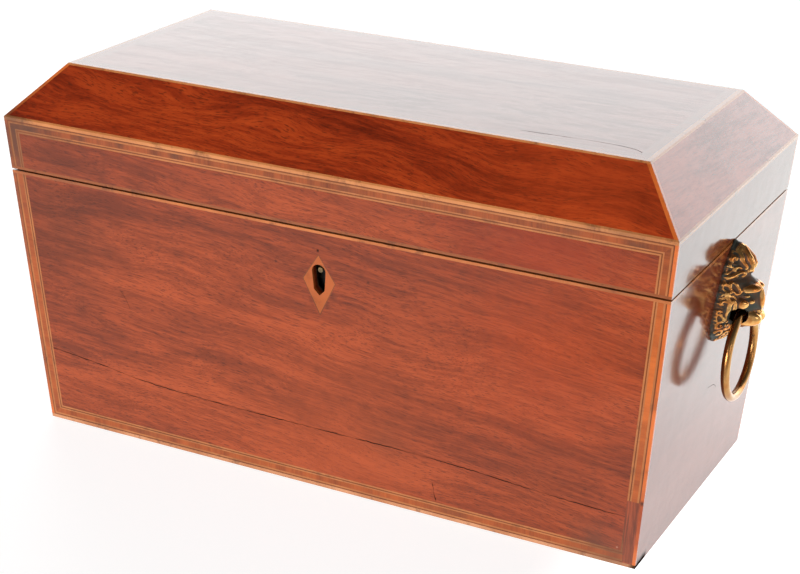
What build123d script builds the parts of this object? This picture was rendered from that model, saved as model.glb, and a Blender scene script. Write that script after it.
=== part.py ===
from build123d import *
from math import atan, cos, degrees, sin
import os

# A sarcophagus tea caddy in mahogany, its walls and lid edged with boxwood strings.
# Millimetres, +Z up, origin at the centre of the base's underside, front facing -Y.

os.makedirs("parts", exist_ok=True)

# ---- driving dimensions of the outside ----
arris_width = 305.0
arris_depth = 155.0
arris_height = 144.5
total_height = 166.5
rim_height = 120.2
lid_foot = 121.0
wall_slope = 0.0734
top_inset = 20.25

# ---- thicknesses, measured square to each face ----
veneer = 1.4
wall = 9.0
base_underside = 0.6
base_top = 8.6
edging_foot = 0.3
base_edging_top = 1.9
rim_string = 1.2
lining = 2.0

# ---- border of the front panels, from the corner string inwards ----
dark_outer = 0.55
light_outer = 0.75
crossband = 2.3
light_middle = 0.6
dark_inner = 0.5
light_inner = 0.7

# ---- worked out from the driving dimensions ----
wall_angle = atan(wall_slope)
bevel_slope = top_inset / (total_height - arris_height)
bevel_angle = atan(bevel_slope)
axis_height = (rim_height + lid_foot) / 2


def half_width(z):
    """Half of the outside width at height z, below the lid's arris."""
    return arris_width / 2 - wall_slope * (arris_height - z)


def half_depth(z):
    """Half of the outside depth at height z, below the lid's arris."""
    return arris_depth / 2 - wall_slope * (arris_height - z)


def up(z):
    """Distance up a sloping wall that reaches the height z."""
    return z / cos(wall_angle)


def level(depth):
    """Horizontal distance that a depth square to a wall takes up."""
    return depth / cos(wall_angle)


# Planes on the outside of the walls: local y runs up the slope, local z points outwards.
front_face = Plane(origin=(0, -half_depth(0), 0), x_dir=(1, 0, 0), z_dir=(0, -1, -wall_slope))
back_face = Plane(origin=(0, half_depth(0), 0), x_dir=(-1, 0, 0), z_dir=(0, 1, -wall_slope))
right_face = Plane(origin=(half_width(0), 0, 0), x_dir=(0, 1, 0), z_dir=(1, 0, -wall_slope))


def save(piece, name):
    """Label a finished piece and write it under its node's name."""
    piece.label = name
    export_step(piece, f"parts/{name}.step")


def save_pair(piece, name):
    """Write a right-hand piece and its mirror image on the left."""
    save(piece, f"right_{name}")
    save(piece.mirror(Plane.YZ), f"left_{name}")


def wall_block(low, high, depth_x=0.0, depth_y=0.0, mode=Mode.ADD):
    """Fill the sloping outline between two heights, drawn in by a depth each way."""
    with BuildSketch(Plane.XY.offset(low)) as profile:
        Rectangle(2 * (half_width(low) - level(depth_x)), 2 * (half_depth(low) - level(depth_y)))
    extrude(profile.sketch, amount=high - low, taper=-degrees(wall_angle), mode=mode)


def bevel_foot(depth):
    """Height where wall and bevel meet, both drawn in by a depth."""
    rise = (1 / cos(bevel_angle) - 1 / cos(wall_angle)) / (wall_slope + bevel_slope)
    return arris_height - depth * rise


def bevel_block(depth=0.0, mode=Mode.ADD):
    """Fill the bevelled top of the lid, drawn in by a depth, from its foot up."""
    foot = bevel_foot(depth)
    with BuildSketch(Plane.XY.offset(foot)) as profile:
        Rectangle(2 * (half_width(foot) - level(depth)), 2 * (half_depth(foot) - level(depth)))
    extrude(profile.sketch, amount=total_height - depth - foot, taper=degrees(bevel_angle), mode=mode)


def lid_block(depth=0.0, mode=Mode.ADD):
    """Fill the whole lid, drawn in by a depth from every face but its foot."""
    wall_block(lid_foot, bevel_foot(depth), depth, depth, mode)
    bevel_block(depth, mode)


def keep_between(low, high):
    """Trim the piece to the heights between low and high."""
    split(bisect_by=Plane.XY.offset(low), keep=Keep.TOP)
    split(bisect_by=Plane.XY.offset(high), keep=Keep.BOTTOM)


def panel(depth, low, high):
    """Corners of a front panel, drawn in from the corners and cut level at low and high."""
    reach = [half_width(0) + sin(wall_angle) * v - level(depth) for v in (low, high)]
    return [(-reach[0], low), (reach[0], low), (reach[1], high), (-reach[1], high)]


def slab(outline, cutout=None):
    """Cut a piece of front veneer from an outline, with an optional cut-out."""
    with BuildSketch(front_face.offset(-veneer)) as profile:
        Polygon(*outline, align=None)
        if cutout:
            Polygon(*cutout, align=None, mode=Mode.SUBTRACT)
    extrude(profile.sketch, amount=veneer)


def case_band(start, width):
    """Run a band of the border up both sides and along the foot of the case's front."""
    inner = start + width
    head = case_border_head + trim
    slab(panel(start, case_border_foot + start, head), panel(inner, case_border_foot + inner, head))
    split(bisect_by=Plane.XY.offset(rim_height - rim_string), keep=Keep.BOTTOM)


def lid_band(start, width):
    """Run a band of the border up both sides and along the head of the lid's front."""
    inner = start + width
    foot = lid_border_foot - trim
    slab(panel(start, foot, lid_border_head - start), panel(inner, foot, lid_border_head - inner))
    keep_between(lid_foot + rim_string, arris_height - arris_string_below)


# Bands are drawn past the rim and the seam by this much, then cut level.
trim = 0.5

# Distance from the corner at which each band of the border starts.
dark_outer_at = veneer
light_outer_at = dark_outer_at + dark_outer
crossband_at = light_outer_at + light_outer
light_middle_at = crossband_at + crossband
dark_inner_at = light_middle_at + light_middle
light_inner_at = dark_inner_at + dark_inner
field_at = light_inner_at + light_inner

# The case's border is measured up from a line one veneer below its bottom string.
case_border_foot = up(base_edging_top) - veneer
case_border_head = up(rim_height - rim_string)
lid_border_foot = up(lid_foot + rim_string)
arris_string_below = 1.3
arris_string_above = 0.65
lid_border_head = up(arris_height - arris_string_below) + veneer

# ---- hinges ----
hinge_places = (-95.0, 95.0)
hinge_length = 32.0
leaf_thickness = 1.2
leaf_back = 66.9
leaf_edge = 73.6
barrel_radius = 1.7
barrel_clearance = 1.95
pin_radius = 0.8
pin_bore = 0.85
axis_depth = half_depth(axis_height)
knuckles = 5
knuckle_gap = 0.2
hinge_screw_offsets = (-11.0, 0.0, 11.0)
hinge_screw_y = 69.8

# ---- screws ----
screw_head = 2.2
screw_shank = 1.1
screw_length = 6.5
hole_ease = 0.05

# ---- lock ----
lock_width = 46.0
lock_height = 30.0
lock_front = 3.2
lock_plate = 0.9
selvedge_width = 60.0
selvedge_front = 2.6
selvedge_thickness = 1.5
lock_screw_x = 26.5
lock_screw_depth = 5.8
staple_places = (-11.0, 11.0)
staple_thickness = 1.6
staple_depth = 3.2
staple_ease = 1.0
staple_bar = 0.6
staple_eye_height = 2.8
staple_eye_centre = 115.0
staple_reach = 8.0
staple_centre = 6.5
key_pin_radius = 1.1
key_pin_height = 102.3

# ---- keyhole and its inlaid escutcheon ----
keyhole_at = 1.0  # keyhole and escutcheon sit a little right of the middle
keyhole_foot = 91.5
keyhole_head = 105.3
keyhole_width = 6.3
keyhole_waist = 5.0
escutcheon_foot = 83.2
escutcheon_head = 109.3
escutcheon_middle = 98.0
escutcheon_width = 14.6
escutcheon_line = 0.4

# ---- lion masks and rings ----
mask_screw_heights = (84.5, 108.0)
mask_screw_shank = 1.5
mask_screw_head = 3.0
mask_screw_grip = 4.0
ring_radius = 18.8
ring_wire = 1.86
ring_axis_height = 91.5
ring_axis_x = 157.5
ring_passage = 3.7
ring_passage_length = 60.0

# ---- inside ----
partition_inner = 45.5
partition_outer = 50.5
partition_head = 112.0
bowl_board_foot = 104.0
bowl_board_head = 110.0
bowl_hole = 38.5
groove = 1.5
canister_foot = 9.0
canister_head = 113.0
canister_gap = 0.8
canister_wall = 4.0
canister_liner = 1.5
canister_floor = 4.0
ledge_height = 107.3
canister_lid_foot = 107.7
canister_lid_thickness = 5.0
canister_lid_gap = 0.4
canister_pin = 1.0


def hinge_recess():
    """Cut the room for both hinges into a board, veneer or string at the back."""
    for low in (rim_height - leaf_thickness, lid_foot):
        with Locations(*[(x, (leaf_back + arris_depth / 2) / 2, low) for x in hinge_places]):
            Box(
                hinge_length,
                arris_depth / 2 - leaf_back,
                leaf_thickness,
                align=(Align.CENTER, Align.CENTER, Align.MIN),
                mode=Mode.SUBTRACT,
            )
    with Locations(*[(x, axis_depth, axis_height) for x in hinge_places]):
        Cylinder(barrel_clearance, hinge_length, rotation=(0, 90, 0), mode=Mode.SUBTRACT)


def screws(plane, places, length, head, shank, mode=Mode.ADD):
    """Draw countersunk screws, heads flush with a plane and shanks along its -z."""
    ease = hole_ease if mode == Mode.SUBTRACT else 0.0
    taper_length = head - shank
    with BuildSketch(plane) as heads:
        with Locations(*places):
            Circle(head + ease)
    extrude(heads.sketch, amount=-taper_length, taper=45, mode=mode)
    with BuildSketch(plane.offset(-taper_length)) as shanks:
        with Locations(*places):
            Circle(shank + ease)
    extrude(shanks.sketch, amount=taper_length - length, mode=mode)


hinge_screw_places = [(x + step, hinge_screw_y) for x in hinge_places for step in hinge_screw_offsets]
lock_screw_y = -half_depth(rim_height) + level(lock_screw_depth)
lock_screw_places = [(-lock_screw_x, lock_screw_y), (lock_screw_x, lock_screw_y)]
rim_plane = Plane.XY.offset(rim_height)
foot_plane = Plane(origin=(0, 0, lid_foot), x_dir=(1, 0, 0), z_dir=(0, 0, -1))


def flipped(places):
    """Places on the lid's foot plane, whose local y runs forwards."""
    return [(x, -y) for x, y in places]


def case_screws_in(mode):
    """Screws of the lock and of the hinges' lower leaves."""
    screws(rim_plane, lock_screw_places + hinge_screw_places, screw_length, screw_head, screw_shank, mode)


def lid_screws_in(mode):
    """Screws of the link plate and of the hinges' upper leaves."""
    places = flipped(lock_screw_places + hinge_screw_places)
    screws(foot_plane, places, screw_length, screw_head, screw_shank, mode)


def mask_screws_in(mode):
    """Screws that hold the right lion mask from inside the case."""
    inner_face = Plane(right_face.offset(-wall).origin, x_dir=(0, 1, 0), z_dir=(-1, 0, wall_slope))
    places = [(0, -up(height)) for height in mask_screw_heights]
    screws(inner_face, places, wall + mask_screw_grip, mask_screw_head, mask_screw_shank, mode)


def keyhole(front_depth, thickness):
    """Cut the keyhole through a layer that starts at a depth in the front wall."""
    top = up(keyhole_head) - keyhole_width / 2
    shoulder = up(keyhole_foot) + keyhole_waist / 2
    with BuildSketch(front_face.offset(-front_depth)) as profile:
        with BuildLine():
            left_side = Line((keyhole_at - keyhole_width / 2, top), (keyhole_at - keyhole_waist / 2, shoulder))
            foot_left = Line(left_side @ 1, (keyhole_at, up(keyhole_foot)))
            foot_right = Line(foot_left @ 1, (keyhole_at + keyhole_waist / 2, shoulder))
            right_side = Line(foot_right @ 1, (keyhole_at + keyhole_width / 2, top))
            ThreePointArc(right_side @ 1, (keyhole_at, up(keyhole_head)), left_side @ 0)
        make_face()
    extrude(profile.sketch, amount=-thickness, mode=Mode.SUBTRACT)


def kite(grow, mode=Mode.ADD):
    """Draw the escutcheon's lozenge through the veneer, grown outwards by a distance."""
    half = escutcheon_width / 2
    with BuildSketch(front_face) as profile:
        Polygon(
            (keyhole_at, up(escutcheon_foot)),
            (keyhole_at + half, up(escutcheon_middle)),
            (keyhole_at, up(escutcheon_head)),
            (keyhole_at - half, up(escutcheon_middle)),
            align=None,
        )
        if grow > 0:
            offset(amount=grow, kind=Kind.INTERSECTION)
    extrude(profile.sketch, amount=-veneer, mode=mode)


# ================= case: boards =================
with BuildPart() as base_baize:
    with BuildSketch():
        Rectangle(2 * (half_width(0) - 2 * veneer), 2 * (half_depth(0) - 2 * veneer))
    extrude(amount=base_underside)
save(base_baize.part, "base_baize")

with BuildPart() as base_board:
    wall_block(base_underside, base_top, veneer, veneer)
save(base_board.part, "base_board")

with BuildPart() as front_board:
    wall_block(base_top, rim_height, veneer, veneer)
    split(bisect_by=front_face.offset(-wall), keep=Keep.TOP)
    with BuildSketch(front_face.offset(-lock_front)):
        with Locations((0, up(rim_height) - lock_height / 2)):
            Rectangle(lock_width + 2 * hole_ease, lock_height + 2 * hole_ease)
    extrude(amount=-(wall - lock_front + trim), mode=Mode.SUBTRACT)
    with BuildSketch(Plane.XY.offset(rim_height - selvedge_thickness)):
        with Locations((0, -half_depth(rim_height) + level(selvedge_front))):
            Rectangle(
                selvedge_width + 2 * hole_ease,
                2 * wall,
                align=(Align.CENTER, Align.MIN),
            )
    extrude(amount=2 * selvedge_thickness, mode=Mode.SUBTRACT)
    keyhole(veneer, lock_front - veneer)
    case_screws_in(Mode.SUBTRACT)
save(front_board.part, "front_board")

with BuildPart() as back_board:
    wall_block(base_top, rim_height, veneer, veneer)
    split(bisect_by=back_face.offset(-wall), keep=Keep.TOP)
    hinge_recess()
    case_screws_in(Mode.SUBTRACT)
save(back_board.part, "back_board")

with BuildPart() as right_board:
    wall_block(base_top, rim_height, veneer, wall)
    split(bisect_by=right_face.offset(-wall), keep=Keep.TOP)
    mask_screws_in(Mode.SUBTRACT)
save_pair(right_board.part, "board")

# ================= case: veneers, crossbanding and strings =================
with BuildPart() as front_veneer:
    slab(panel(field_at, case_border_foot + field_at, case_border_head + trim))
    split(bisect_by=Plane.XY.offset(rim_height - rim_string), keep=Keep.BOTTOM)
    kite(escutcheon_line, Mode.SUBTRACT)
save(front_veneer.part, "front_veneer")

with BuildPart() as front_crossbanding:
    case_band(crossband_at, crossband)
save(front_crossbanding.part, "front_crossbanding")

with BuildPart() as front_light_strings:
    case_band(light_outer_at, light_outer)
    case_band(light_middle_at, light_middle)
    case_band(light_inner_at, light_inner)
save(front_light_strings.part, "front_light_strings")

with BuildPart() as front_dark_strings:
    case_band(dark_outer_at, dark_outer)
    case_band(dark_inner_at, dark_inner)
    kite(escutcheon_line)
    kite(0, Mode.SUBTRACT)
save(front_dark_strings.part, "front_dark_strings")

with BuildPart() as escutcheon:
    kite(0)
    keyhole(0, veneer)
save(escutcheon.part, "escutcheon")

with BuildPart() as back_veneer:
    wall_block(base_edging_top, rim_height - rim_string, veneer, 0)
    split(bisect_by=back_face.offset(-veneer), keep=Keep.TOP)
    hinge_recess()
save(back_veneer.part, "back_veneer")

with BuildPart() as right_veneer:
    wall_block(base_edging_top, rim_height - rim_string, 0, veneer)
    split(bisect_by=right_face.offset(-veneer), keep=Keep.TOP)
    mask_screws_in(Mode.SUBTRACT)
save_pair(right_veneer.part, "veneer")

with BuildPart() as corner_edging:
    wall_block(base_edging_top, rim_height - rim_string)
    wall_block(base_edging_top, rim_height - rim_string, veneer, 0, Mode.SUBTRACT)
    wall_block(base_edging_top, rim_height - rim_string, 0, veneer, Mode.SUBTRACT)
save(corner_edging.part, "corner_edging")

with BuildPart() as base_edging:
    wall_block(edging_foot, base_edging_top)
    wall_block(edging_foot, base_edging_top, veneer, veneer, Mode.SUBTRACT)
save(base_edging.part, "base_edging")

with BuildPart() as rim_edging:
    wall_block(rim_height - rim_string, rim_height)
    wall_block(rim_height - rim_string, rim_height, veneer, veneer, Mode.SUBTRACT)
    hinge_recess()
save(rim_edging.part, "rim_edging")

# ================= lock =================
lock_foot = up(rim_height) - lock_height
lock_inside = wall - lock_plate
selvedge_y = -half_depth(rim_height) + level(selvedge_front)
selvedge_depth = level(wall - selvedge_front)
staple_y = -half_depth(rim_height) + level(staple_centre)

with BuildPart() as lock_case:
    with BuildSketch(front_face.offset(-lock_front)):
        with Locations((0, lock_foot + lock_height / 2)):
            Rectangle(lock_width, lock_height)
    extrude(amount=-(wall - lock_front))
    with BuildSketch(front_face.offset(-lock_front - lock_plate)):
        with Locations((0, lock_foot + lock_height / 2 + lock_plate)):
            Rectangle(lock_width - 2 * lock_plate, lock_height)
    extrude(amount=-(wall - lock_front - 2 * lock_plate), mode=Mode.SUBTRACT)
    split(bisect_by=Plane.XY.offset(rim_height - selvedge_thickness), keep=Keep.BOTTOM)
    with BuildSketch(Plane.XY.offset(rim_height - selvedge_thickness)):
        with Locations((0, selvedge_y)):
            Rectangle(selvedge_width, selvedge_depth, align=(Align.CENTER, Align.MIN))
        with Locations(*[(x, staple_y) for x in staple_places]):
            Rectangle(staple_thickness + staple_ease, staple_depth + staple_ease, mode=Mode.SUBTRACT)
    extrude(amount=selvedge_thickness)
    keyhole(lock_front, lock_plate)
    case_screws_in(Mode.SUBTRACT)
    with BuildSketch(front_face.offset(-lock_inside)):
        with Locations((keyhole_at, up(key_pin_height))):
            Circle(key_pin_radius)
    extrude(amount=lock_inside - veneer)
save(lock_case.part, "lock_case")

# The bolt is a bar with two upright hooks whose noses enter the staples of the link plate.
bolt_thickness = 1.4
bolt_bar_height = 3.0
bolt_below_staple = 1.0
bolt_bar_head = up(rim_height - staple_reach - bolt_below_staple)
bolt_bar_length = 34.0
bolt_bar_middle = -2.0
bolt_depth = 6.1
bolt_nose_height = 1.8
bolt_nose_length = 2.9
bolt_post_width = 2.0
bolt_post_length = up(staple_eye_centre) + bolt_nose_height / 2 - bolt_bar_head + bolt_bar_height / 2
bolt_rest_gap = 0.7

with BuildPart() as lock_bolt:
    with BuildSketch(front_face.offset(-bolt_depth + bolt_thickness / 2)):
        with Locations((bolt_bar_middle, bolt_bar_head)):
            Rectangle(bolt_bar_length, bolt_bar_height, align=(Align.CENTER, Align.MAX))
        for x in staple_places:
            nose_tip = x - staple_thickness / 2 - bolt_rest_gap
            post_right = nose_tip - bolt_nose_length
            with Locations((post_right, up(staple_eye_centre) + bolt_nose_height / 2)):
                Rectangle(bolt_post_width, bolt_post_length, align=(Align.MAX, Align.MAX))
            with Locations((post_right, up(staple_eye_centre))):
                Rectangle(bolt_nose_length, bolt_nose_height, align=(Align.MIN, Align.CENTER))
    extrude(amount=-bolt_thickness)
save(lock_bolt.part, "lock_bolt")

with BuildPart() as link_plate:
    with BuildSketch(Plane.XY.offset(lid_foot)):
        with Locations((0, selvedge_y)):
            Rectangle(selvedge_width, selvedge_depth, align=(Align.CENTER, Align.MIN))
    extrude(amount=selvedge_thickness)
    lid_screws_in(Mode.SUBTRACT)
    with Locations(*[(x, staple_y, lid_foot) for x in staple_places]):
        Box(
            staple_thickness,
            staple_depth,
            staple_reach + lid_foot - rim_height,
            align=(Align.CENTER, Align.CENTER, Align.MAX),
        )
    with Locations(*[(x, staple_y, staple_eye_centre) for x in staple_places]):
        Box(2 * staple_thickness, staple_depth - 2 * staple_bar, staple_eye_height, mode=Mode.SUBTRACT)
save(link_plate.part, "link_plate")

with BuildPart() as case_screws:
    case_screws_in(Mode.ADD)
save(case_screws.part, "case_screws")

with BuildPart() as lid_screws:
    lid_screws_in(Mode.ADD)
save(lid_screws.part, "lid_screws")

# ================= butt hinges =================


def leaf(low, own_knuckles):
    """Draw one leaf of both hinges with its knuckles, numbered from the left."""
    pitch = (hinge_length + knuckle_gap) / knuckles
    length = pitch - knuckle_gap
    on_edge = (Align.CENTER, Align.MIN, Align.MIN)
    for x in hinge_places:
        with Locations((x, leaf_back, low)):
            Box(hinge_length, leaf_edge - leaf_back, leaf_thickness, align=on_edge)
        for number in own_knuckles:
            middle = x + (number - (knuckles - 1) / 2) * pitch
            with Locations((middle, leaf_edge, low)):
                Box(length, axis_depth - leaf_edge, leaf_thickness, align=on_edge)
            with Locations((middle, axis_depth, axis_height)):
                Cylinder(barrel_radius, length, rotation=(0, 90, 0))
    with Locations(*[(x, axis_depth, axis_height) for x in hinge_places]):
        Cylinder(pin_bore, 2 * hinge_length, rotation=(0, 90, 0), mode=Mode.SUBTRACT)


with BuildPart() as hinge_case_leaves:
    leaf(rim_height - leaf_thickness, (0, 2, 4))
    case_screws_in(Mode.SUBTRACT)
save(hinge_case_leaves.part, "hinge_case_leaves")

with BuildPart() as hinge_lid_leaves:
    leaf(lid_foot, (1, 3))
    lid_screws_in(Mode.SUBTRACT)
save(hinge_lid_leaves.part, "hinge_lid_leaves")

with BuildPart() as hinge_pins:
    with Locations(*[(x, axis_depth, axis_height) for x in hinge_places]):
        Cylinder(pin_radius, hinge_length, rotation=(0, 90, 0))
save(hinge_pins.part, "hinge_pins")

# ================= lion masks and rings =================
mask_upper_edge = [(1.7, 117.7), (6.7, 115.1), (9.5, 109.9), (12.2, 102.9)]
mask_lower_edge = [(15.0, 90.3), (13.5, 83.5), (9.6, 79.2)]
mask_head = 119.4
mask_foot = 78.6
mask_plate = 3.0
mane_lumps = [(4.8, 113.2), (7.9, 107.4), (10.1, 101.4), (11.7, 95.1), (12.2, 88.6), (10.4, 82.6)]
mane_lump_radius = 3.0
mane_lump_rise = 1.0
brow = (101.0, 5.5, 11.0)
forelock = (112.0, 9.0, 5.0)
muzzle = (90.0, 12.3, 6.5)
chin = (83.5, 6.5, 3.5)
cheek = (90.0, 1.5, 5.0)
cheek_offset = 8.5

with BuildPart(right_face) as right_lion_mask:
    with BuildSketch(right_face):
        with BuildLine():
            side_points = [(y, up(z)) for y, z in mask_upper_edge + mask_lower_edge]
            Spline((0, up(mask_head)), *side_points, (0, up(mask_foot)))
            mirror(about=Plane.YZ)
        make_face()
    extrude(amount=mask_plate)
    with Locations((0, up(muzzle[0]), 0)):
        Cylinder(muzzle[2], muzzle[1], align=(Align.CENTER, Align.CENTER, Align.MIN))
    for height, rise, radius in (brow, forelock, muzzle, chin):
        with Locations((0, up(height), rise)):
            Sphere(radius)
    for side in (-1, 1):
        with Locations((side * cheek_offset, up(cheek[0]), cheek[1])):
            Sphere(cheek[2])
        with Locations(*[(side * y, up(z), mane_lump_rise) for y, z in mane_lumps]):
            Sphere(mane_lump_radius)
    with Locations(right_face.to_local_coords(Vector(ring_axis_x, 0, ring_axis_height))):
        Cylinder(ring_passage, ring_passage_length, rotation=(0, 90, 0), mode=Mode.SUBTRACT)
    split(bisect_by=right_face, keep=Keep.TOP)
    mask_screws_in(Mode.SUBTRACT)
save_pair(right_lion_mask.part, "lion_mask")

with BuildPart() as mask_screws:
    mask_screws_in(Mode.ADD)
    mirror(about=Plane.YZ)
save(mask_screws.part, "mask_screws")

with BuildPart() as right_ring:
    with Locations((ring_axis_x, 0, ring_axis_height - ring_radius)):
        Torus(ring_radius, ring_wire, rotation=(0, 90, 0))
save_pair(right_ring.part, "ring")

# ================= inside of the case =================
with BuildPart() as right_partition:
    wall_block(base_top, partition_head, 0, wall)
    split(bisect_by=Plane.YZ.offset(partition_inner), keep=Keep.TOP)
    split(bisect_by=Plane.YZ.offset(partition_outer), keep=Keep.BOTTOM)
    with Locations((partition_inner, 0, bowl_board_foot)):
        Box(
            2 * groove,
            arris_depth,
            bowl_board_head - bowl_board_foot,
            align=(Align.CENTER, Align.CENTER, Align.MIN),
            mode=Mode.SUBTRACT,
        )
save_pair(right_partition.part, "partition")

with BuildPart() as bowl_board:
    wall_block(bowl_board_foot, bowl_board_head, 0, wall)
    for side in (-1, 1):
        edge = Plane.YZ.offset(side * (partition_inner + groove))
        split(bisect_by=edge, keep=Keep.BOTTOM if side > 0 else Keep.TOP)
    with Locations((0, 0, bowl_board_foot)):
        Cylinder(bowl_hole, 2 * wall, mode=Mode.SUBTRACT)
save(bowl_board.part, "bowl_board")

# ---- glass mixing bowl ----
bowl_foot_height = 26.0
bowl_foot_radius = 20.0
bowl_waist = (16.5, 32.0)
bowl_shoulder = (37.4, 92.0)
bowl_rest = 110.3
bowl_flange = 41.5
bowl_lip = 114.5
bowl_lip_radius = 39.5
bowl_foot_edge = 2.0
bowl_flange_edge = 2.0
bowl_lip_top = 3.5
bowl_belly_bend = 90.0
bowl_inner_bend = 86.0
bowl_inner_foot = (12.5, 36.0)
bowl_floor = 35.0
glass = 3.2

with BuildPart() as glass_bowl:
    with BuildSketch(Plane.XZ):
        with BuildLine():
            foot = Line((0, bowl_foot_height), (bowl_foot_radius, bowl_foot_height))
            foot_side = Line(foot @ 1, (bowl_foot_radius, bowl_foot_height + bowl_foot_edge))
            waist = Line(foot_side @ 1, bowl_waist)
            belly = RadiusArc(waist @ 1, bowl_shoulder, -bowl_belly_bend)
            neck = Line(belly @ 1, (bowl_shoulder[0], bowl_rest))
            rest = Line(neck @ 1, (bowl_flange, bowl_rest))
            rim_edge = Line(rest @ 1, (bowl_flange, bowl_rest + bowl_flange_edge))
            lip = Line(rim_edge @ 1, (bowl_lip_radius, bowl_lip))
            lip_top = Line(lip @ 1, (bowl_lip_radius - bowl_lip_top, bowl_lip))
            inner_neck = Line(lip_top @ 1, (bowl_shoulder[0] - glass, bowl_shoulder[1]))
            inner_belly = RadiusArc(inner_neck @ 1, bowl_inner_foot, bowl_inner_bend)
            floor = Line(inner_belly @ 1, (0, bowl_floor))
            Line(floor @ 1, foot @ 0)
        make_face()
    revolve(axis=Axis.Z)
save(glass_bowl.part, "glass_bowl")

# ---- canisters ----


def well(low, high, gap):
    """Fill the right well, a gap clear of its walls and of the partition."""
    with BuildPart() as block:
        wall_block(low, high, wall + gap, wall + gap)
        split(bisect_by=Plane.YZ.offset(partition_outer + gap), keep=Keep.TOP)
    return block.part


def well_edge(gap, z):
    """Half of the well's depth and its outer x at height z, both a gap clear."""
    return half_depth(z) - level(wall + gap), half_width(z) - level(wall + gap)


canister_body = well(canister_foot, canister_head, canister_gap)
canister_recess = well(ledge_height, canister_head + trim, canister_gap + canister_wall)
canister_hollow = well(
    canister_foot + canister_floor,
    canister_head,
    canister_gap + canister_wall + canister_liner,
)
lid_half_depth, lid_outer_x = well_edge(canister_gap + canister_wall + canister_lid_gap, ledge_height)
lid_inner_x = partition_outer + canister_gap + canister_wall + canister_lid_gap
lid_middle_x = (lid_inner_x + lid_outer_x) / 2
lid_round = canister_lid_thickness / 2
lid_axis_y = lid_half_depth - lid_round
lid_axis_z = canister_lid_foot + lid_round
pin_into_wall = 2.0
pin_into_lid = 4.0


def canister_pins(radius, mode=Mode.ADD):
    """Draw the two pins that the canister's lid turns on."""
    inner_end = lid_inner_x - canister_lid_gap - pin_into_wall
    outer_end = lid_outer_x + canister_lid_gap + pin_into_wall
    length = pin_into_wall + canister_lid_gap + pin_into_lid
    for middle in (inner_end + length / 2, outer_end - length / 2):
        with Locations((middle, lid_axis_y, lid_axis_z)):
            Cylinder(radius, length, rotation=(0, 90, 0), mode=mode)


with BuildPart() as right_canister:
    add(canister_body)
    add(canister_recess, mode=Mode.SUBTRACT)
    add(canister_hollow, mode=Mode.SUBTRACT)
    canister_pins(canister_pin, Mode.SUBTRACT)
save_pair(right_canister.part, "canister")

with BuildPart() as right_canister_pins:
    canister_pins(canister_pin)
save_pair(right_canister_pins.part, "canister_pins")

# ---- canister lids and their turned knobs ----
knob_shank = 1.5
knob_sunk = 3.0
knob_collar = 2.6
knob_collar_height = 0.8
knob_radius = 3.2
knob_y = -20.0
canister_lid_top = canister_lid_foot + canister_lid_thickness

with BuildPart() as right_canister_lid:
    with BuildSketch(Plane.YZ.offset(lid_inner_x)):
        with Locations((lid_axis_y, canister_lid_foot)):
            Rectangle(lid_axis_y + lid_half_depth, canister_lid_thickness, align=(Align.MAX, Align.MIN))
        with Locations((lid_axis_y, lid_axis_z)):
            Circle(lid_round)
    extrude(amount=lid_outer_x - lid_inner_x)
    canister_pins(canister_pin + hole_ease, Mode.SUBTRACT)
    with Locations((lid_middle_x, knob_y, canister_lid_top)):
        Cylinder(
            knob_shank,
            knob_sunk,
            align=(Align.CENTER, Align.CENTER, Align.MAX),
            mode=Mode.SUBTRACT,
        )
save_pair(right_canister_lid.part, "canister_lid")

with BuildPart() as right_canister_knob:
    with Locations((lid_middle_x, knob_y, canister_lid_top - knob_sunk)):
        Cylinder(knob_shank, knob_sunk + knob_radius, align=(Align.CENTER, Align.CENTER, Align.MIN))
    with Locations((lid_middle_x, knob_y, canister_lid_top)):
        Cylinder(knob_collar, knob_collar_height, align=(Align.CENTER, Align.CENTER, Align.MIN))
    with Locations((lid_middle_x, knob_y, canister_lid_top + knob_radius)):
        Sphere(knob_radius)
save_pair(right_canister_knob.part, "canister_knob")

# ================= lid: boards =================
rail_head = bevel_foot(wall)
ceiling = total_height - wall
ridge_end = (arris_width - arris_depth) / 2

with BuildPart() as lid_front_rail:
    wall_block(lid_foot, rail_head, veneer, veneer)
    split(bisect_by=front_face.offset(-wall), keep=Keep.TOP)
    with BuildSketch(Plane.XY.offset(lid_foot)):
        with Locations((0, selvedge_y)):
            Rectangle(selvedge_width + 2 * hole_ease, 2 * wall, align=(Align.CENTER, Align.MIN))
    extrude(amount=selvedge_thickness, mode=Mode.SUBTRACT)
    lid_screws_in(Mode.SUBTRACT)
save(lid_front_rail.part, "lid_front_rail")

with BuildPart() as lid_back_rail:
    wall_block(lid_foot, rail_head, veneer, veneer)
    split(bisect_by=back_face.offset(-wall), keep=Keep.TOP)
    hinge_recess()
    lid_screws_in(Mode.SUBTRACT)
save(lid_back_rail.part, "lid_back_rail")

with BuildPart() as lid_right_rail:
    wall_block(lid_foot, rail_head, veneer, wall)
    split(bisect_by=right_face.offset(-wall), keep=Keep.TOP)
save(lid_right_rail.part, "lid_right_rail")
save(lid_right_rail.part.mirror(Plane.YZ), "lid_left_rail")

with BuildPart() as bevel_ring:
    lid_block(veneer)
    lid_block(wall, Mode.SUBTRACT)
    keep_between(rail_head, ceiling)

with BuildPart() as right_bevel_board:
    add(bevel_ring.part)
    split(bisect_by=Plane(origin=(ridge_end, 0, 0), z_dir=(1, -1, 0)), keep=Keep.TOP)
    split(bisect_by=Plane(origin=(ridge_end, 0, 0), z_dir=(1, 1, 0)), keep=Keep.TOP)

with BuildPart() as front_bevel_board:
    add(bevel_ring.part)
    split(bisect_by=Plane.XZ, keep=Keep.TOP)
    split(bisect_by=Plane(origin=(ridge_end, 0, 0), z_dir=(1, 1, 0)), keep=Keep.BOTTOM)
    split(bisect_by=Plane(origin=(-ridge_end, 0, 0), z_dir=(-1, 1, 0)), keep=Keep.BOTTOM)

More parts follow.
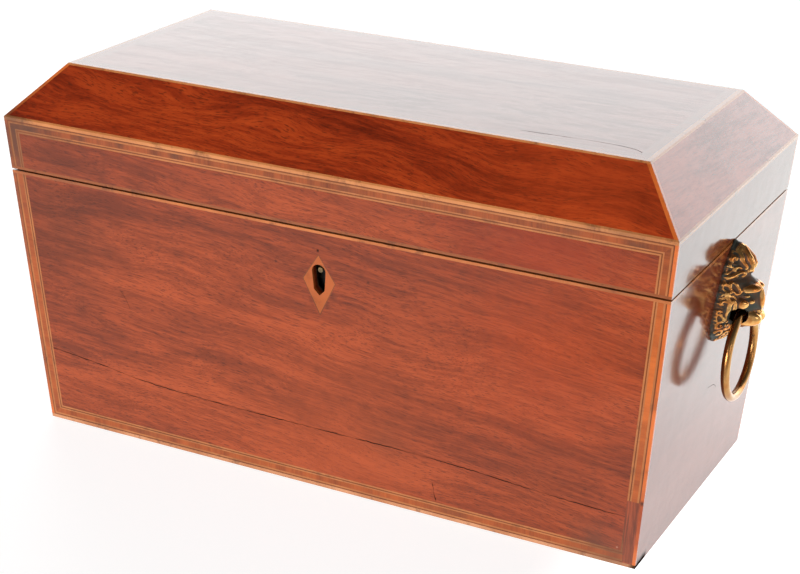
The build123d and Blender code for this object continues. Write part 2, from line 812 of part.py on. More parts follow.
# The four boards meet at their mitres, so they are gathered without being joined.
bevel_boards = [
    right_bevel_board.part.solid(),
    right_bevel_board.part.solid().mirror(Plane.YZ),
    front_bevel_board.part.solid(),
    front_bevel_board.part.solid().mirror(Plane.XZ),
]
save(Compound(bevel_boards), "lid_bevel_boards")

with BuildPart() as lid_top_board:
    lid_block(veneer)
    split(bisect_by=Plane.XY.offset(ceiling), keep=Keep.TOP)
save(lid_top_board.part, "lid_top_board")

lining_gap = 1.0
lining_half_width = arris_width / 2 - bevel_slope * (ceiling - arris_height) - wall / cos(bevel_angle)
lining_half_depth = lining_half_width - ridge_end

with BuildPart() as lid_lining:
    with BuildSketch(Plane.XY.offset(ceiling)):
        Rectangle(2 * (lining_half_width - lining_gap), 2 * (lining_half_depth - lining_gap))
    extrude(amount=-lining)
save(lid_lining.part, "lid_lining")

# ================= lid: veneers and strings =================
hip_width = 2.5
hip_length = 60.0
top_string_width = 2.0
top_string_thickness = 0.75
top_crossband = 3.8
top_line = 0.6
top_veneer_foot = total_height - veneer
top_string_foot = total_height - top_string_thickness
arris_string_foot = arris_height - arris_string_below
arris_string_head = arris_height + arris_string_above
hip_middle = (arris_width / 2 - top_inset / 2, arris_depth / 2 - top_inset / 2)


def top_rectangle(inset, mode=Mode.ADD):
    """Draw the lid's flat top, drawn in by an inset."""
    width = arris_width - 2 * top_inset - 2 * inset
    Rectangle(width, width - 2 * ridge_end, mode=mode)


def top_frame(outer, inner, foot, head):
    """Fill a frame round the lid's flat top between two insets."""
    with BuildSketch(Plane.XY.offset(foot)) as profile:
        top_rectangle(outer)
        if inner:
            top_rectangle(inner, Mode.SUBTRACT)
    extrude(profile.sketch, amount=head - foot)


def lid_skin():
    """Fill the lid's outer layer, one veneer thick."""
    lid_block(0)
    lid_block(veneer, Mode.SUBTRACT)


with BuildPart() as lid_front_veneer:
    slab(panel(field_at, lid_border_foot - trim, lid_border_head - field_at))
    split(bisect_by=Plane.XY.offset(lid_foot + rim_string), keep=Keep.TOP)
save(lid_front_veneer.part, "lid_front_veneer")

with BuildPart() as lid_back_veneer:
    wall_block(lid_foot + rim_string, arris_string_foot, veneer, 0)
    split(bisect_by=back_face.offset(-veneer), keep=Keep.TOP)
    hinge_recess()
save(lid_back_veneer.part, "lid_back_veneer")

with BuildPart() as lid_end_veneers:
    wall_block(lid_foot + rim_string, arris_string_foot, 0, veneer)
    wall_block(lid_foot + rim_string, arris_string_foot, veneer, veneer, Mode.SUBTRACT)
save(lid_end_veneers.part, "lid_end_veneers")

with BuildPart() as lid_bevel_veneers:
    lid_skin()
    keep_between(arris_string_head, top_string_foot)
    with BuildSketch(Plane.XY.offset(top_veneer_foot)):
        top_rectangle(top_string_width)
    extrude(amount=veneer, mode=Mode.SUBTRACT)
    for x_side in (-1, 1):
        for y_side in (-1, 1):
            turn = (0, 0, 45 * x_side * y_side)
            with Locations((x_side * hip_middle[0], y_side * hip_middle[1], arris_height)):
                Box(hip_length, hip_width, hip_length, rotation=turn, mode=Mode.SUBTRACT)
save(lid_bevel_veneers.part, "lid_bevel_veneers")

with BuildPart() as lid_corner_strings:
    lid_skin()
    keep_between(arris_string_head, top_string_foot)
    with BuildSketch(Plane.XY.offset(top_veneer_foot)):
        top_rectangle(top_string_width)
    extrude(amount=veneer, mode=Mode.SUBTRACT)
    add(lid_bevel_veneers.part, mode=Mode.SUBTRACT)
    wall_block(lid_foot + rim_string, arris_string_foot)
    wall_block(lid_foot + rim_string, arris_string_foot, veneer, 0, Mode.SUBTRACT)
    wall_block(lid_foot + rim_string, arris_string_foot, 0, veneer, Mode.SUBTRACT)
save(lid_corner_strings.part, "lid_corner_strings")

with BuildPart() as arris_string:
    lid_skin()
    keep_between(arris_string_foot, arris_string_head)

with BuildPart() as top_string:
    bevel_block()
    split(bisect_by=Plane.XY.offset(top_string_foot), keep=Keep.TOP)
    with BuildSketch(Plane.XY.offset(top_string_foot)):
        top_rectangle(top_string_width)
    extrude(amount=veneer, mode=Mode.SUBTRACT)

with BuildPart() as lid_edging:
    wall_block(lid_foot, lid_foot + rim_string)
    wall_block(lid_foot, lid_foot + rim_string, veneer, veneer, Mode.SUBTRACT)
    hinge_recess()
    add(arris_string.part)
    add(top_string.part)
save(lid_edging.part, "lid_edging")

with BuildPart() as lid_top_veneer:
    top_frame(top_string_width + top_crossband + top_line, None, top_veneer_foot, total_height)
save(lid_top_veneer.part, "lid_top_veneer")

with BuildPart() as lid_crossbanding:
    lid_band(crossband_at, crossband)
    top_frame(top_string_width, top_string_width + top_crossband, top_veneer_foot, total_height)
save(lid_crossbanding.part, "lid_crossbanding")

with BuildPart() as lid_light_strings:
    lid_band(light_outer_at, light_outer)
    lid_band(light_middle_at, light_middle)
    lid_band(light_inner_at, light_inner)
save(lid_light_strings.part, "lid_light_strings")

with BuildPart() as lid_dark_strings:
    lid_band(dark_outer_at, dark_outer)
    lid_band(dark_inner_at, dark_inner)
    top_frame(
        top_string_width + top_crossband,
        top_string_width + top_crossband + top_line,
        top_veneer_foot,
        total_height,
    )
save(lid_dark_strings.part, "lid_dark_strings")
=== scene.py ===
"""Looks of a sarcophagus tea caddy: veneers and strings, antique brass, glass, baize and velvet.

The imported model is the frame. Most of its nodes keep their shape and get a finish here; the lion
masks and their rings are modelled again in full, because their solids are only simple domes.
"""

import logging
import math
from dataclasses import dataclass, field
from enum import Enum
from typing import Any, ClassVar, Iterable, Sequence

import bmesh
import bpy
import numpy as np
from mathutils import Matrix, Vector


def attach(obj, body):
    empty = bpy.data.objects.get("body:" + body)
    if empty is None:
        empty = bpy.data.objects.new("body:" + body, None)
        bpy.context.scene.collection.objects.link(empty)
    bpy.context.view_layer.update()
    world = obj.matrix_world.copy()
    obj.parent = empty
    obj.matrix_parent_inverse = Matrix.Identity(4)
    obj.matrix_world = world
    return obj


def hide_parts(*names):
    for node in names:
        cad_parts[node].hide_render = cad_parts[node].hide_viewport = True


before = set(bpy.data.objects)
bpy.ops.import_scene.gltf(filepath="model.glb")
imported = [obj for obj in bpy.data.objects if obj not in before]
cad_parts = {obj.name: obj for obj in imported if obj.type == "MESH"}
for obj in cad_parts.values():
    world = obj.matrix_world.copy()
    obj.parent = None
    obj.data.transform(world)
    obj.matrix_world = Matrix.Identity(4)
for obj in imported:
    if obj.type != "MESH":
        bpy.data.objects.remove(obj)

LOG = logging.getLogger("tea_caddy")
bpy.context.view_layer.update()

Colour = tuple[float, float, float]
Socket = bpy.types.NodeSocket
MM = 0.001
WALL_SLOPE = 0.0734
"""How far each wall leans outwards for each unit that it rises."""


# ---------------------------------------------------------------- node graphs


class Graph:
    """Adds nodes to one shader tree and wires them, so a finish reads as a list of steps."""

    def __init__(self, tree: bpy.types.NodeTree) -> None:
        """Keep the tree that the nodes go into.

        Args:
            tree: A material's, a world's or a group's node tree.
        """
        self.tree = tree

    def node(
        self, kind: str, inputs: dict[Any, Any] | None = None, **settings: Any
    ) -> bpy.types.Node:
        """Add a node, set its properties, and set or link its inputs.

        Args:
            kind: The node's type without the "ShaderNode" in front.
            inputs: Values or sockets by input name or number.
            **settings: Properties of the node, such as operation.

        Returns:
            The new node.
        """
        made = self.tree.nodes.new("ShaderNode" + kind)
        for name, value in settings.items():
            setattr(made, name, value)
        for name, value in (inputs or {}).items():
            if isinstance(value, bpy.types.NodeSocket):
                self.tree.links.new(value, made.inputs[name])
            else:
                made.inputs[name].default_value = value
        return made

    def math(
        self, operation: str, a: Any, b: Any = 0.0, c: Any = 0.0, clamp: bool = False
    ) -> Socket:
        """Work out one number from up to three."""
        inputs = {0: a, 1: b, 2: c}
        return self.node("Math", inputs, operation=operation, use_clamp=clamp).outputs[0]

    def split(self, vector: Any) -> tuple[Socket, Socket, Socket]:
        """Take a vector apart into its three numbers."""
        parts = self.node("SeparateXYZ", {0: vector}).outputs
        return parts[0], parts[1], parts[2]

    def join(self, x: Any, y: Any, z: Any) -> Socket:
        """Make a vector of three numbers."""
        return self.node("CombineXYZ", {0: x, 1: y, 2: z}).outputs[0]

    def step(
        self, value: Any, low: float, high: float, start: float = 0.0, end: float = 1.0
    ) -> Socket:
        """Ease from start to end as the value goes from low to high.

        Args:
            value: The number to map.
            low: Where the ease begins.
            high: Where it ends. It may be below low.
            start: Result at low.
            end: Result at high.

        Returns:
            The eased number.
        """
        if low > high:
            low, high, start, end = high, low, end, start
        return self.map_smooth(value, low, high, start, end)

    def map_smooth(self, value: Any, low: Any, high: Any, start: float, end: float) -> Socket:
        """Ease from start to end between low and high, where low is below high."""
        inputs = {0: value, 1: low, 2: high, 3: start, 4: end}
        return self.node("MapRange", inputs, interpolation_type="SMOOTHSTEP").outputs[0]

    def stretch(
        self, vector: Any, scale: Sequence[float], offset: Sequence[float] = (0, 0, 0)
    ) -> Socket:
        """Scale a vector along each axis, then shift it."""
        inputs = {0: vector, 1: scale, 2: offset}
        return self.node("VectorMath", inputs, operation="MULTIPLY_ADD").outputs[0]

    def distance(self, first: Any, second: Any) -> Socket:
        """How far one place is from another."""
        made = self.node("VectorMath", {0: first, 1: second}, operation="DISTANCE")
        return made.outputs["Value"]

    def on_ends(self, coordinates: bpy.types.Node) -> Socket:
        """Tell the faces that look left or right, as 1, from the others, as 0."""
        facing = self.split(coordinates.outputs["Normal"])[0]
        return self.math("GREATER_THAN", self.math("ABSOLUTE", facing), 0.5)

    def noise(
        self, vector: Any, scale: Any = 1.0, detail: float = 3.0, rough: float = 0.55
    ) -> Socket:
        """Soft random value around one half."""
        inputs = {"Vector": vector, "Scale": scale, "Detail": detail, "Roughness": rough}
        return self.node("TexNoise", inputs).outputs[0]

    def blend(self, share: Any, first: Any, second: Any) -> Socket:
        """Mix two colours.

        Args:
            share: The share of the second.
            first: A colour or its socket.
            second: A colour or its socket.

        Returns:
            The mixed colour.
        """
        inputs = {0: share}
        for slot, colour in ((6, first), (7, second)):
            linked = isinstance(colour, bpy.types.NodeSocket)
            inputs[slot] = colour if linked else (*colour, 1.0)
        return self.node("Mix", inputs, data_type="RGBA").outputs[2]

    def ramp(self, value: Any, stops: Sequence[tuple[float, Colour]]) -> Socket:
        """Run a number through a list of colours.

        Args:
            value: The number to look up.
            stops: Pairs of place and colour, in order.

        Returns:
            The colour at that number.
        """
        made = self.node("ValToRGB", {0: value})
        bar = made.color_ramp
        while len(bar.elements) < len(stops):
            bar.elements.new(1.0)
        for element, (place, colour) in zip(bar.elements, stops):
            element.position = place
            element.color = (*colour, 1.0)
        return made.outputs[0]

    def curve(self, value: Any, points: Sequence[tuple[float, float]]) -> Socket:
        """Look a number up on a smooth line through points.

        Args:
            value: A number from 0 to 1.
            points: Pairs of input and output, both from 0 to 1.

        Returns:
            The line's height at that number.
        """
        made = self.node("FloatCurve", {0: 1.0, 1: value})
        line = made.mapping.curves[0]
        while len(line.points) < len(points):
            line.points.new(0.5, 0.5)
        for point, place in zip(line.points, points):
            point.location = place
        made.mapping.update()
        return made.outputs[0]

    def group(self, made: bpy.types.NodeTree, **inputs: Any) -> dict[str, Socket]:
        """Place a node group and return its outputs by name.

        Args:
            made: The group's tree.
            **inputs: Values or sockets, with spaces in names written as underscores.

        Returns:
            The outputs by name.
        """
        placed = self.tree.nodes.new("ShaderNodeGroup")
        placed.node_tree = made
        for name, value in inputs.items():
            socket = placed.inputs[name.replace("_", " ")]
            if isinstance(value, bpy.types.NodeSocket):
                self.tree.links.new(value, socket)
            else:
                socket.default_value = value
        return {output.name: output for output in placed.outputs}


@dataclass(frozen=True)
class Pin:
    """One input or output of a node group."""

    name: str
    kind: str = "Float"
    value: float | None = None


NewGroup = tuple[Graph, dict[str, Socket], bpy.types.Node]


def new_group(name: str, inputs: Iterable[Pin], outputs: Iterable[Pin]) -> NewGroup:
    """Start a shader node group.

    Args:
        name: The group's name.
        inputs: Its inputs.
        outputs: Its outputs.

    Returns:
        The graph to add nodes to, its inputs by name, and its output node.
    """
    tree = bpy.data.node_groups.new(name, "ShaderNodeTree")
    for pins, way in ((inputs, "INPUT"), (outputs, "OUTPUT")):
        for pin in pins:
            kind = "NodeSocket" + pin.kind
            socket = tree.interface.new_socket(pin.name, in_out=way, socket_type=kind)
            if pin.value is not None:
                socket.default_value = pin.value
    source = tree.nodes.new("NodeGroupInput")
    sink = tree.nodes.new("NodeGroupOutput")
    return Graph(tree), {socket.name: socket for socket in source.outputs}, sink


def end_group(g: Graph, sink: bpy.types.Node, **outputs: Socket) -> bpy.types.NodeTree:
    """Wire up a group's outputs.

    Args:
        g: The group's graph.
        sink: Its output node.
        **outputs: What each output puts out, by name.

    Returns:
        The group's tree.
    """
    for name, value in outputs.items():
        g.tree.links.new(value, sink.inputs[name])
    return g.tree


# ---------------------------------------------------------------- shared effects


class GrainRun(Enum):
    """Which way the grain of a piece of wood runs."""

    ALONG_FRONT = "x"
    ALONG_END = "y"
    BY_FACE = "face"


class Effects:
    """Node groups that several finishes share, each built once."""

    def __init__(self) -> None:
        """Build every group."""
        self.grain = self.build_grain()
        self.cross_grain = self.build_cross_grain()
        self.line_wood = self.build_line_wood()
        self.patina = self.build_patina()
        self.pile = self.build_pile()
        self.handling = self.build_handling()
        self.repair = self.build_repair()
        self.tone_patch = self.build_tone_patch()
        self.crack = self.build_crack()

    @staticmethod
    def build_grain() -> bpy.types.NodeTree:
        """Figure of a plain-cut mahogany: drifting streaks, soft ribbons, and short dark pores.

        The vector's x runs along the grain. Streaks are noise stretched along x, drifted by slow
        noise; pores are a finer stretched noise kept only above a threshold.

        Returns:
            The group, with outputs Streak, Ribbon, Pores and Height.
        """
        inputs = [Pin("Vector", "Vector"), Pin("Drift", value=0.06), Pin("Fineness", value=1.0)]
        outputs = [Pin("Streak"), Pin("Ribbon"), Pin("Pores"), Pin("Height")]
        g, given, sink = new_group("wood grain", inputs, outputs)
        x, y, z = g.split(given["Vector"])
        slow = g.noise(g.stretch(given["Vector"], (9.0, 22.0, 22.0)), detail=2.0)
        wave = g.math("MULTIPLY", g.math("SUBTRACT", slow, 0.5), 0.022)
        across = g.math("ADD", g.math("ADD", z, wave), g.math("MULTIPLY", x, given["Drift"]))
        depth = g.math("ADD", y, wave)
        flow = g.join(x, depth, across)
        fine = g.node("VectorMath", {0: flow, 3: given["Fineness"]}, operation="SCALE").outputs[0]
        broad = g.noise(g.stretch(fine, (14.0, 150.0, 150.0)), detail=4.0, rough=0.62)
        close = g.noise(g.stretch(fine, (48.0, 760.0, 760.0)), detail=4.0, rough=0.7)
        streak = g.math("ADD", g.math("MULTIPLY", broad, 0.5), g.math("MULTIPLY", close, 0.5))
        ribbon = g.noise(g.stretch(flow, (7.0, 34.0, 34.0), (3.7, 1.3, 2.9)), detail=2.0)
        holes = g.noise(g.stretch(fine, (240.0, 3300.0, 3300.0)), detail=1.0, rough=0.4)
        pores = g.step(holes, 0.56, 0.70)
        return end_group(
            g,
            sink,
            Streak=g.step(streak, 0.37, 0.63),
            Ribbon=g.step(ribbon, 0.33, 0.67),
            Pores=pores,
            Height=g.math("SUBTRACT", g.math("MULTIPLY", close, 0.5), pores),
        )

    @staticmethod
    def build_cross_grain() -> bpy.types.NodeTree:
        """Crossbanding, laid in short lengths whose grain crosses the band.

        The lengths and fibres depend only on the distance run along the band, so every fibre
        crosses it. A soft cloud of tone lies over them.

        Returns:
            The group, with outputs Tone and Fibre.
        """
        inputs = [Pin("Vector", "Vector"), Pin("Run")]
        g, given, sink = new_group("cross grain", inputs, [Pin("Tone"), Pin("Fibre")])
        run = given["Run"]
        lengths = g.noise(g.join(g.math("MULTIPLY", run, 75.0), 0.0, 5.1), detail=5.0, rough=0.7)
        fibre = g.noise(g.join(g.math("MULTIPLY", run, 900.0), 0.0, 2.2), detail=3.0, rough=0.8)
        cloud = g.math("MULTIPLY", g.noise(given["Vector"], scale=130.0, detail=3.0), 0.2)
        fine = g.math("MULTIPLY_ADD", fibre, 0.45, cloud)
        tone = g.math("ADD", g.math("MULTIPLY", g.step(lengths, 0.30, 0.66), 0.45), fine)
        return end_group(g, sink, Tone=tone, Fibre=fibre)

    @staticmethod
    def build_line_wood() -> bpy.types.NodeTree:
        """The wood of strings and edgings: lengths of two tones, fine fibre, and worn places.

        Returns:
            The group, with outputs Tone, Fibre and Worn.
        """
        outputs = [Pin("Tone"), Pin("Fibre"), Pin("Worn")]
        g, given, sink = new_group("line wood", [Pin("Vector", "Vector")], outputs)
        lengths = g.step(g.noise(given["Vector"], scale=55.0, detail=3.0), 0.3, 0.7)
        fibre = g.noise(given["Vector"], scale=900.0, detail=2.0)
        tone = g.math("ADD", g.math("MULTIPLY", lengths, 0.7), g.math("MULTIPLY", fibre, 0.3))
        spread = g.stretch(given["Vector"], (120.0, 120.0, 120.0), (7.0, 3.0, 5.0))
        worn = g.step(g.noise(spread, detail=5.0, rough=0.7), 0.52, 0.68)
        return end_group(g, sink, Tone=tone, Fibre=fibre, Worn=worn)

    @staticmethod
    def build_patina() -> bpy.types.NodeTree:
        """How old metal varies: a slow change of tint, and small spots.

        Returns:
            The group, with outputs Tint and Spots.
        """
        outputs = [Pin("Tint"), Pin("Spots")]
        g, given, sink = new_group("patina", [Pin("Vector", "Vector")], outputs)
        tint = g.noise(given["Vector"], scale=170.0, detail=4.0, rough=0.6)
        spots = g.noise(given["Vector"], scale=520.0, detail=3.0, rough=0.6)
        return end_group(g, sink, Tint=tint, Spots=spots)

    @staticmethod
    def build_pile() -> bpy.types.NodeTree:
        """A short pile: single tufts, and a nap brushed this way and that.

        Returns:
            The group, with outputs Tufts and Tone.
        """
        outputs = [Pin("Tufts"), Pin("Tone")]
        g, given, sink = new_group("pile", [Pin("Vector", "Vector")], outputs)
        tufts = g.noise(given["Vector"], scale=2600.0, detail=2.0)
        nap = g.noise(g.stretch(given["Vector"], (40.0, 90.0, 60.0)), detail=3.0)
        tone = g.math("ADD", g.math("MULTIPLY", tufts, 0.5), g.math("MULTIPLY", nap, 0.5))
        return end_group(g, sink, Tufts=tufts, Tone=tone)

    @staticmethod
    def build_handling() -> bpy.types.NodeTree:
        """Marks of use in a polish: a cloudy bloom and sparse fine scratches.

        Returns:
            The group, with outputs Bloom and Scratches.
        """
        outputs = [Pin("Bloom"), Pin("Scratches")]
        g, given, sink = new_group("handling", [Pin("Vector", "Vector")], outputs)
        cloud = g.noise(given["Vector"], scale=24.0, detail=4.0, rough=0.6)
        turn = {"Rotation": (0.5, 0.9, 0.4), "Scale": (1500.0, 40.0, 1500.0)}
        turned = g.node("Mapping", {"Vector": given["Vector"], **turn}).outputs[0]
        lines = g.noise(turned, detail=1.0)
        patches = g.noise(given["Vector"], scale=38.0, detail=1.0)
        rare = g.math("MULTIPLY", g.step(lines, 0.70, 0.76), g.step(patches, 0.56, 0.66))
        return end_group(g, sink, Bloom=g.step(cloud, 0.35, 0.72), Scratches=rare)

    @staticmethod
    def build_repair() -> bpy.types.NodeTree:
        """Where the foot of the right-hand border was made good with a plain slip of veneer.

        Returns:
            The group, with outputs Share, which is 1 on the slip, and Streak, its upright grain.
        """
        inputs = [Pin("Vector", "Vector"), Pin("Left", value=0.1365), Pin("Head", value=0.031)]
        g, given, sink = new_group("old repair", inputs, [Pin("Share"), Pin("Streak")])
        x, y, z = g.split(given["Vector"])
        right = g.math("GREATER_THAN", x, given["Left"])
        low = g.math("LESS_THAN", z, given["Head"])
        front = g.math("LESS_THAN", y, 0.0)
        share = g.math("MULTIPLY", g.math("MULTIPLY", right, low), front)
        streak = g.noise(g.stretch(given["Vector"], (1100.0, 300.0, 90.0)), detail=3.0)
        return end_group(g, sink, Share=share, Streak=streak)

    @staticmethod
    def build_tone_patch() -> bpy.types.NodeTree:
        """A ragged round patch: full within 0.4 of its radius, and gone by 1.6 of it.

        Noise is added to the distance from its middle, so its edge is ragged.

        Returns:
            The group, with the output Mask.
        """
        inputs = [Pin("Vector", "Vector"), Pin("Place", "Vector"), Pin("Radius"), Pin("Share")]
        g, given, sink = new_group("tone_patch", inputs, [Pin("Mask")])
        ragged = g.math(
            "MULTIPLY_ADD",
            g.noise(given["Vector"], scale=160.0),
            given["Radius"],
            g.distance(given["Vector"], given["Place"]),
        )
        near = g.math("MULTIPLY", given["Radius"], 0.4)
        far = g.math("MULTIPLY", given["Radius"], 1.6)
        patch = g.map_smooth(ragged, near, far, 1.0, 0.0)
        return end_group(g, sink, Mask=g.math("MULTIPLY", patch, given["Share"]))

    @staticmethod
    def build_crack() -> bpy.types.NodeTree:
        """A thin dark line beside a course: it wanders, thins, fades in parts, and has two ends.

        Returns:
            The group, with the output Mask, which is 1 in the crack.
        """
        names = ("Along", "Across", "Course", "Share", "Width", "Wander")
        g, given, sink = new_group("crack", [Pin(name) for name in names], [Pin("Mask")])
        shake = g.noise(g.join(g.math("MULTIPLY", given["Along"], 260.0), 0.0, 0.0), detail=3.0)
        shift = g.math("MULTIPLY", g.math("SUBTRACT", shake, 0.5), given["Wander"])
        middle = g.math("ADD", given["Course"], shift)
        away = g.math("ABSOLUTE", g.math("SUBTRACT", given["Across"], middle))
        width = g.noise(g.join(g.math("MULTIPLY", given["Along"], 55.0), 3.0, 0.0), detail=2.0)
        edge = g.math("MULTIPLY", width, g.math("MULTIPLY", given["Width"], 2.0))
        line = g.math("SUBTRACT", 1.0, g.math("DIVIDE", away, edge))
        line = g.math("MULTIPLY", line, 1.8, clamp=True)
        line = g.math("MULTIPLY", line, g.step(width, 0.36, 0.56, 0.35, 1.0))
        starts, stops = g.step(given["Share"], 0.0, 0.02), g.step(given["Share"], 1.0, 0.98)
        mask = g.math("MULTIPLY", line, g.math("MULTIPLY", starts, stops))
        return end_group(g, sink, Mask=mask)


# ---------------------------------------------------------------- finishes


def start_material(name: str) -> tuple[bpy.types.Material, Graph, bpy.types.Node]:
    """Make an empty material with a Principled shader.

    Args:
        name: The material's name.

    Returns:
        The material, its graph and the shader.
    """
    made = bpy.data.materials.new(name)
    made.use_nodes = True
    made.node_tree.nodes.clear()
    g = Graph(made.node_tree)
    shader = g.node("BsdfPrincipled")
    g.node("OutputMaterial", {0: shader.outputs[0]})
    return made, g, shader


def set_inputs(g: Graph, shader: bpy.types.Node, **values: Any) -> None:
    """Set or link a shader's inputs.

    Args:
        g: The material's graph.
        shader: The shader.
        **values: Values or sockets, with spaces in names written as underscores.
    """
    for name, value in values.items():
        socket = shader.inputs[name.replace("_", " ")]
        if isinstance(value, bpy.types.NodeSocket):
            g.tree.links.new(value, socket)
        elif socket.type == "RGBA":
            socket.default_value = (*value, 1.0)
        else:
            socket.default_value = value


def bump(g: Graph, height: Any, distance: float) -> Socket:
    """Turn a height into a normal, for a relief of a given depth in metres."""
    return g.node("Bump", {"Strength": 1.0, "Distance": distance, "Height": height}).outputs[0]


def polish_wood(
    g: Graph, shader: bpy.types.Node, colour: Socket, weight: Any, roughness: float, normal: Socket
) -> None:
    """Put a wood's colour, matt by itself, under a clear French polish.

    Args:
        g: The material's graph.
        shader: Its Principled shader.
        colour: The wood's colour.
        weight: How much polish there is.
        roughness: How dull the polish is.
        normal: The wood's own relief, below the polish.
    """
    set_inputs(
        g,
        shader,
        Base_Color=colour,
        Roughness=0.5,
        Specular_IOR_Level=0.0,
        Coat_Weight=weight,
        Coat_Roughness=roughness,
        Coat_IOR=1.42,
        Normal=normal,
    )


def lay_slip(g: Graph, effects: Effects, placed: Socket, colour: Socket, dark: Colour) -> Socket:
    """Cover a colour with the plain slip of veneer where the border was mended.

    Args:
        g: The material's graph.
        effects: The shared node groups.
        placed: Object coordinates.
        colour: What is below.
        dark: The slip's dark streaks. Its light ones are 1.9 times as bright.

    Returns:
        The colour with the slip on it.
    """
    slip = g.group(effects.repair, Vector=placed)
    wood = g.ramp(slip["Streak"], [(0.35, dark), (0.65, tuple(1.9 * part for part in dark))])
    return g.blend(slip["Share"], colour, wood)


@dataclass(frozen=True)
class TonePatch:
    """A soft-edged patch: its middle, radius, strength, colour, and whether its polish is lost."""

    place: tuple[float, float, float]
    radius: float
    share: float
    colour: Colour = (0.030, 0.006, 0.002)
    bare: bool = False

    def mask(self, g: Graph, effects: Effects, placed: Socket) -> Socket:
        """Find where the patch is.

        Args:
            g: The material's graph.
            effects: The shared node groups.
            placed: Object coordinates.

        Returns:
            The patch's share of the colour at each place.
        """
        return g.group(
            effects.tone_patch, Vector=placed, Place=self.place, Radius=self.radius, Share=self.share
        )["Mask"]


def lay_tone_patches(
    g: Graph, effects: Effects, placed: Socket, colour: Socket, tone_patches: Sequence[TonePatch]
) -> tuple[Socket, list[Socket]]:
    """Lay patches over a colour, one after another.

    Args:
        g: The material's graph.
        effects: The shared node groups.
        placed: Object coordinates.
        colour: What is below.
        tone_patches: The patches, in order.

    Returns:
        The colour with the patches on it, and the masks of those that took the polish off.
    """
    bare: list[Socket] = []
    for tone_patch in tone_patches:
        mask = tone_patch.mask(g, effects, placed)
        colour = g.blend(mask, colour, tone_patch.colour)
        if tone_patch.bare:
            bare.append(mask)
    return colour, bare


@dataclass(frozen=True)
class Crack:
    """A hairline crack: its course in metres across a face, its width, and how far it wanders."""

    course: tuple[tuple[float, float], ...]
    width: float = 0.00022
    wander: float = 0.0006

    def mask(self, g: Graph, effects: Effects, along: Socket, across: Socket) -> Socket:
        """Draw the crack along its course, which is a smooth line through its points.

        Args:
            g: The material's graph.
            effects: The shared node groups.
            along: The coordinate that the course runs along.
            across: The coordinate that it rises in.

        Returns:
            A mask that is 1 in the crack.
        """
        runs, rises = zip(*self.course)
        low, length = min(runs), max(runs) - min(runs)
        floor, span = min(rises) - 0.002, max(rises) - min(rises) + 0.004
        share = g.math("DIVIDE", g.math("SUBTRACT", along, low), length)
        points = [((run - low) / length, (rise - floor) / span) for run, rise in self.course]
        course = g.math("MULTIPLY_ADD", g.curve(share, points), span, floor)
        return g.group(
            effects.crack,
            Along=along,
            Across=across,
            Course=course,
            Share=share,
            Width=self.width,
            Wander=self.wander,
        )["Mask"]


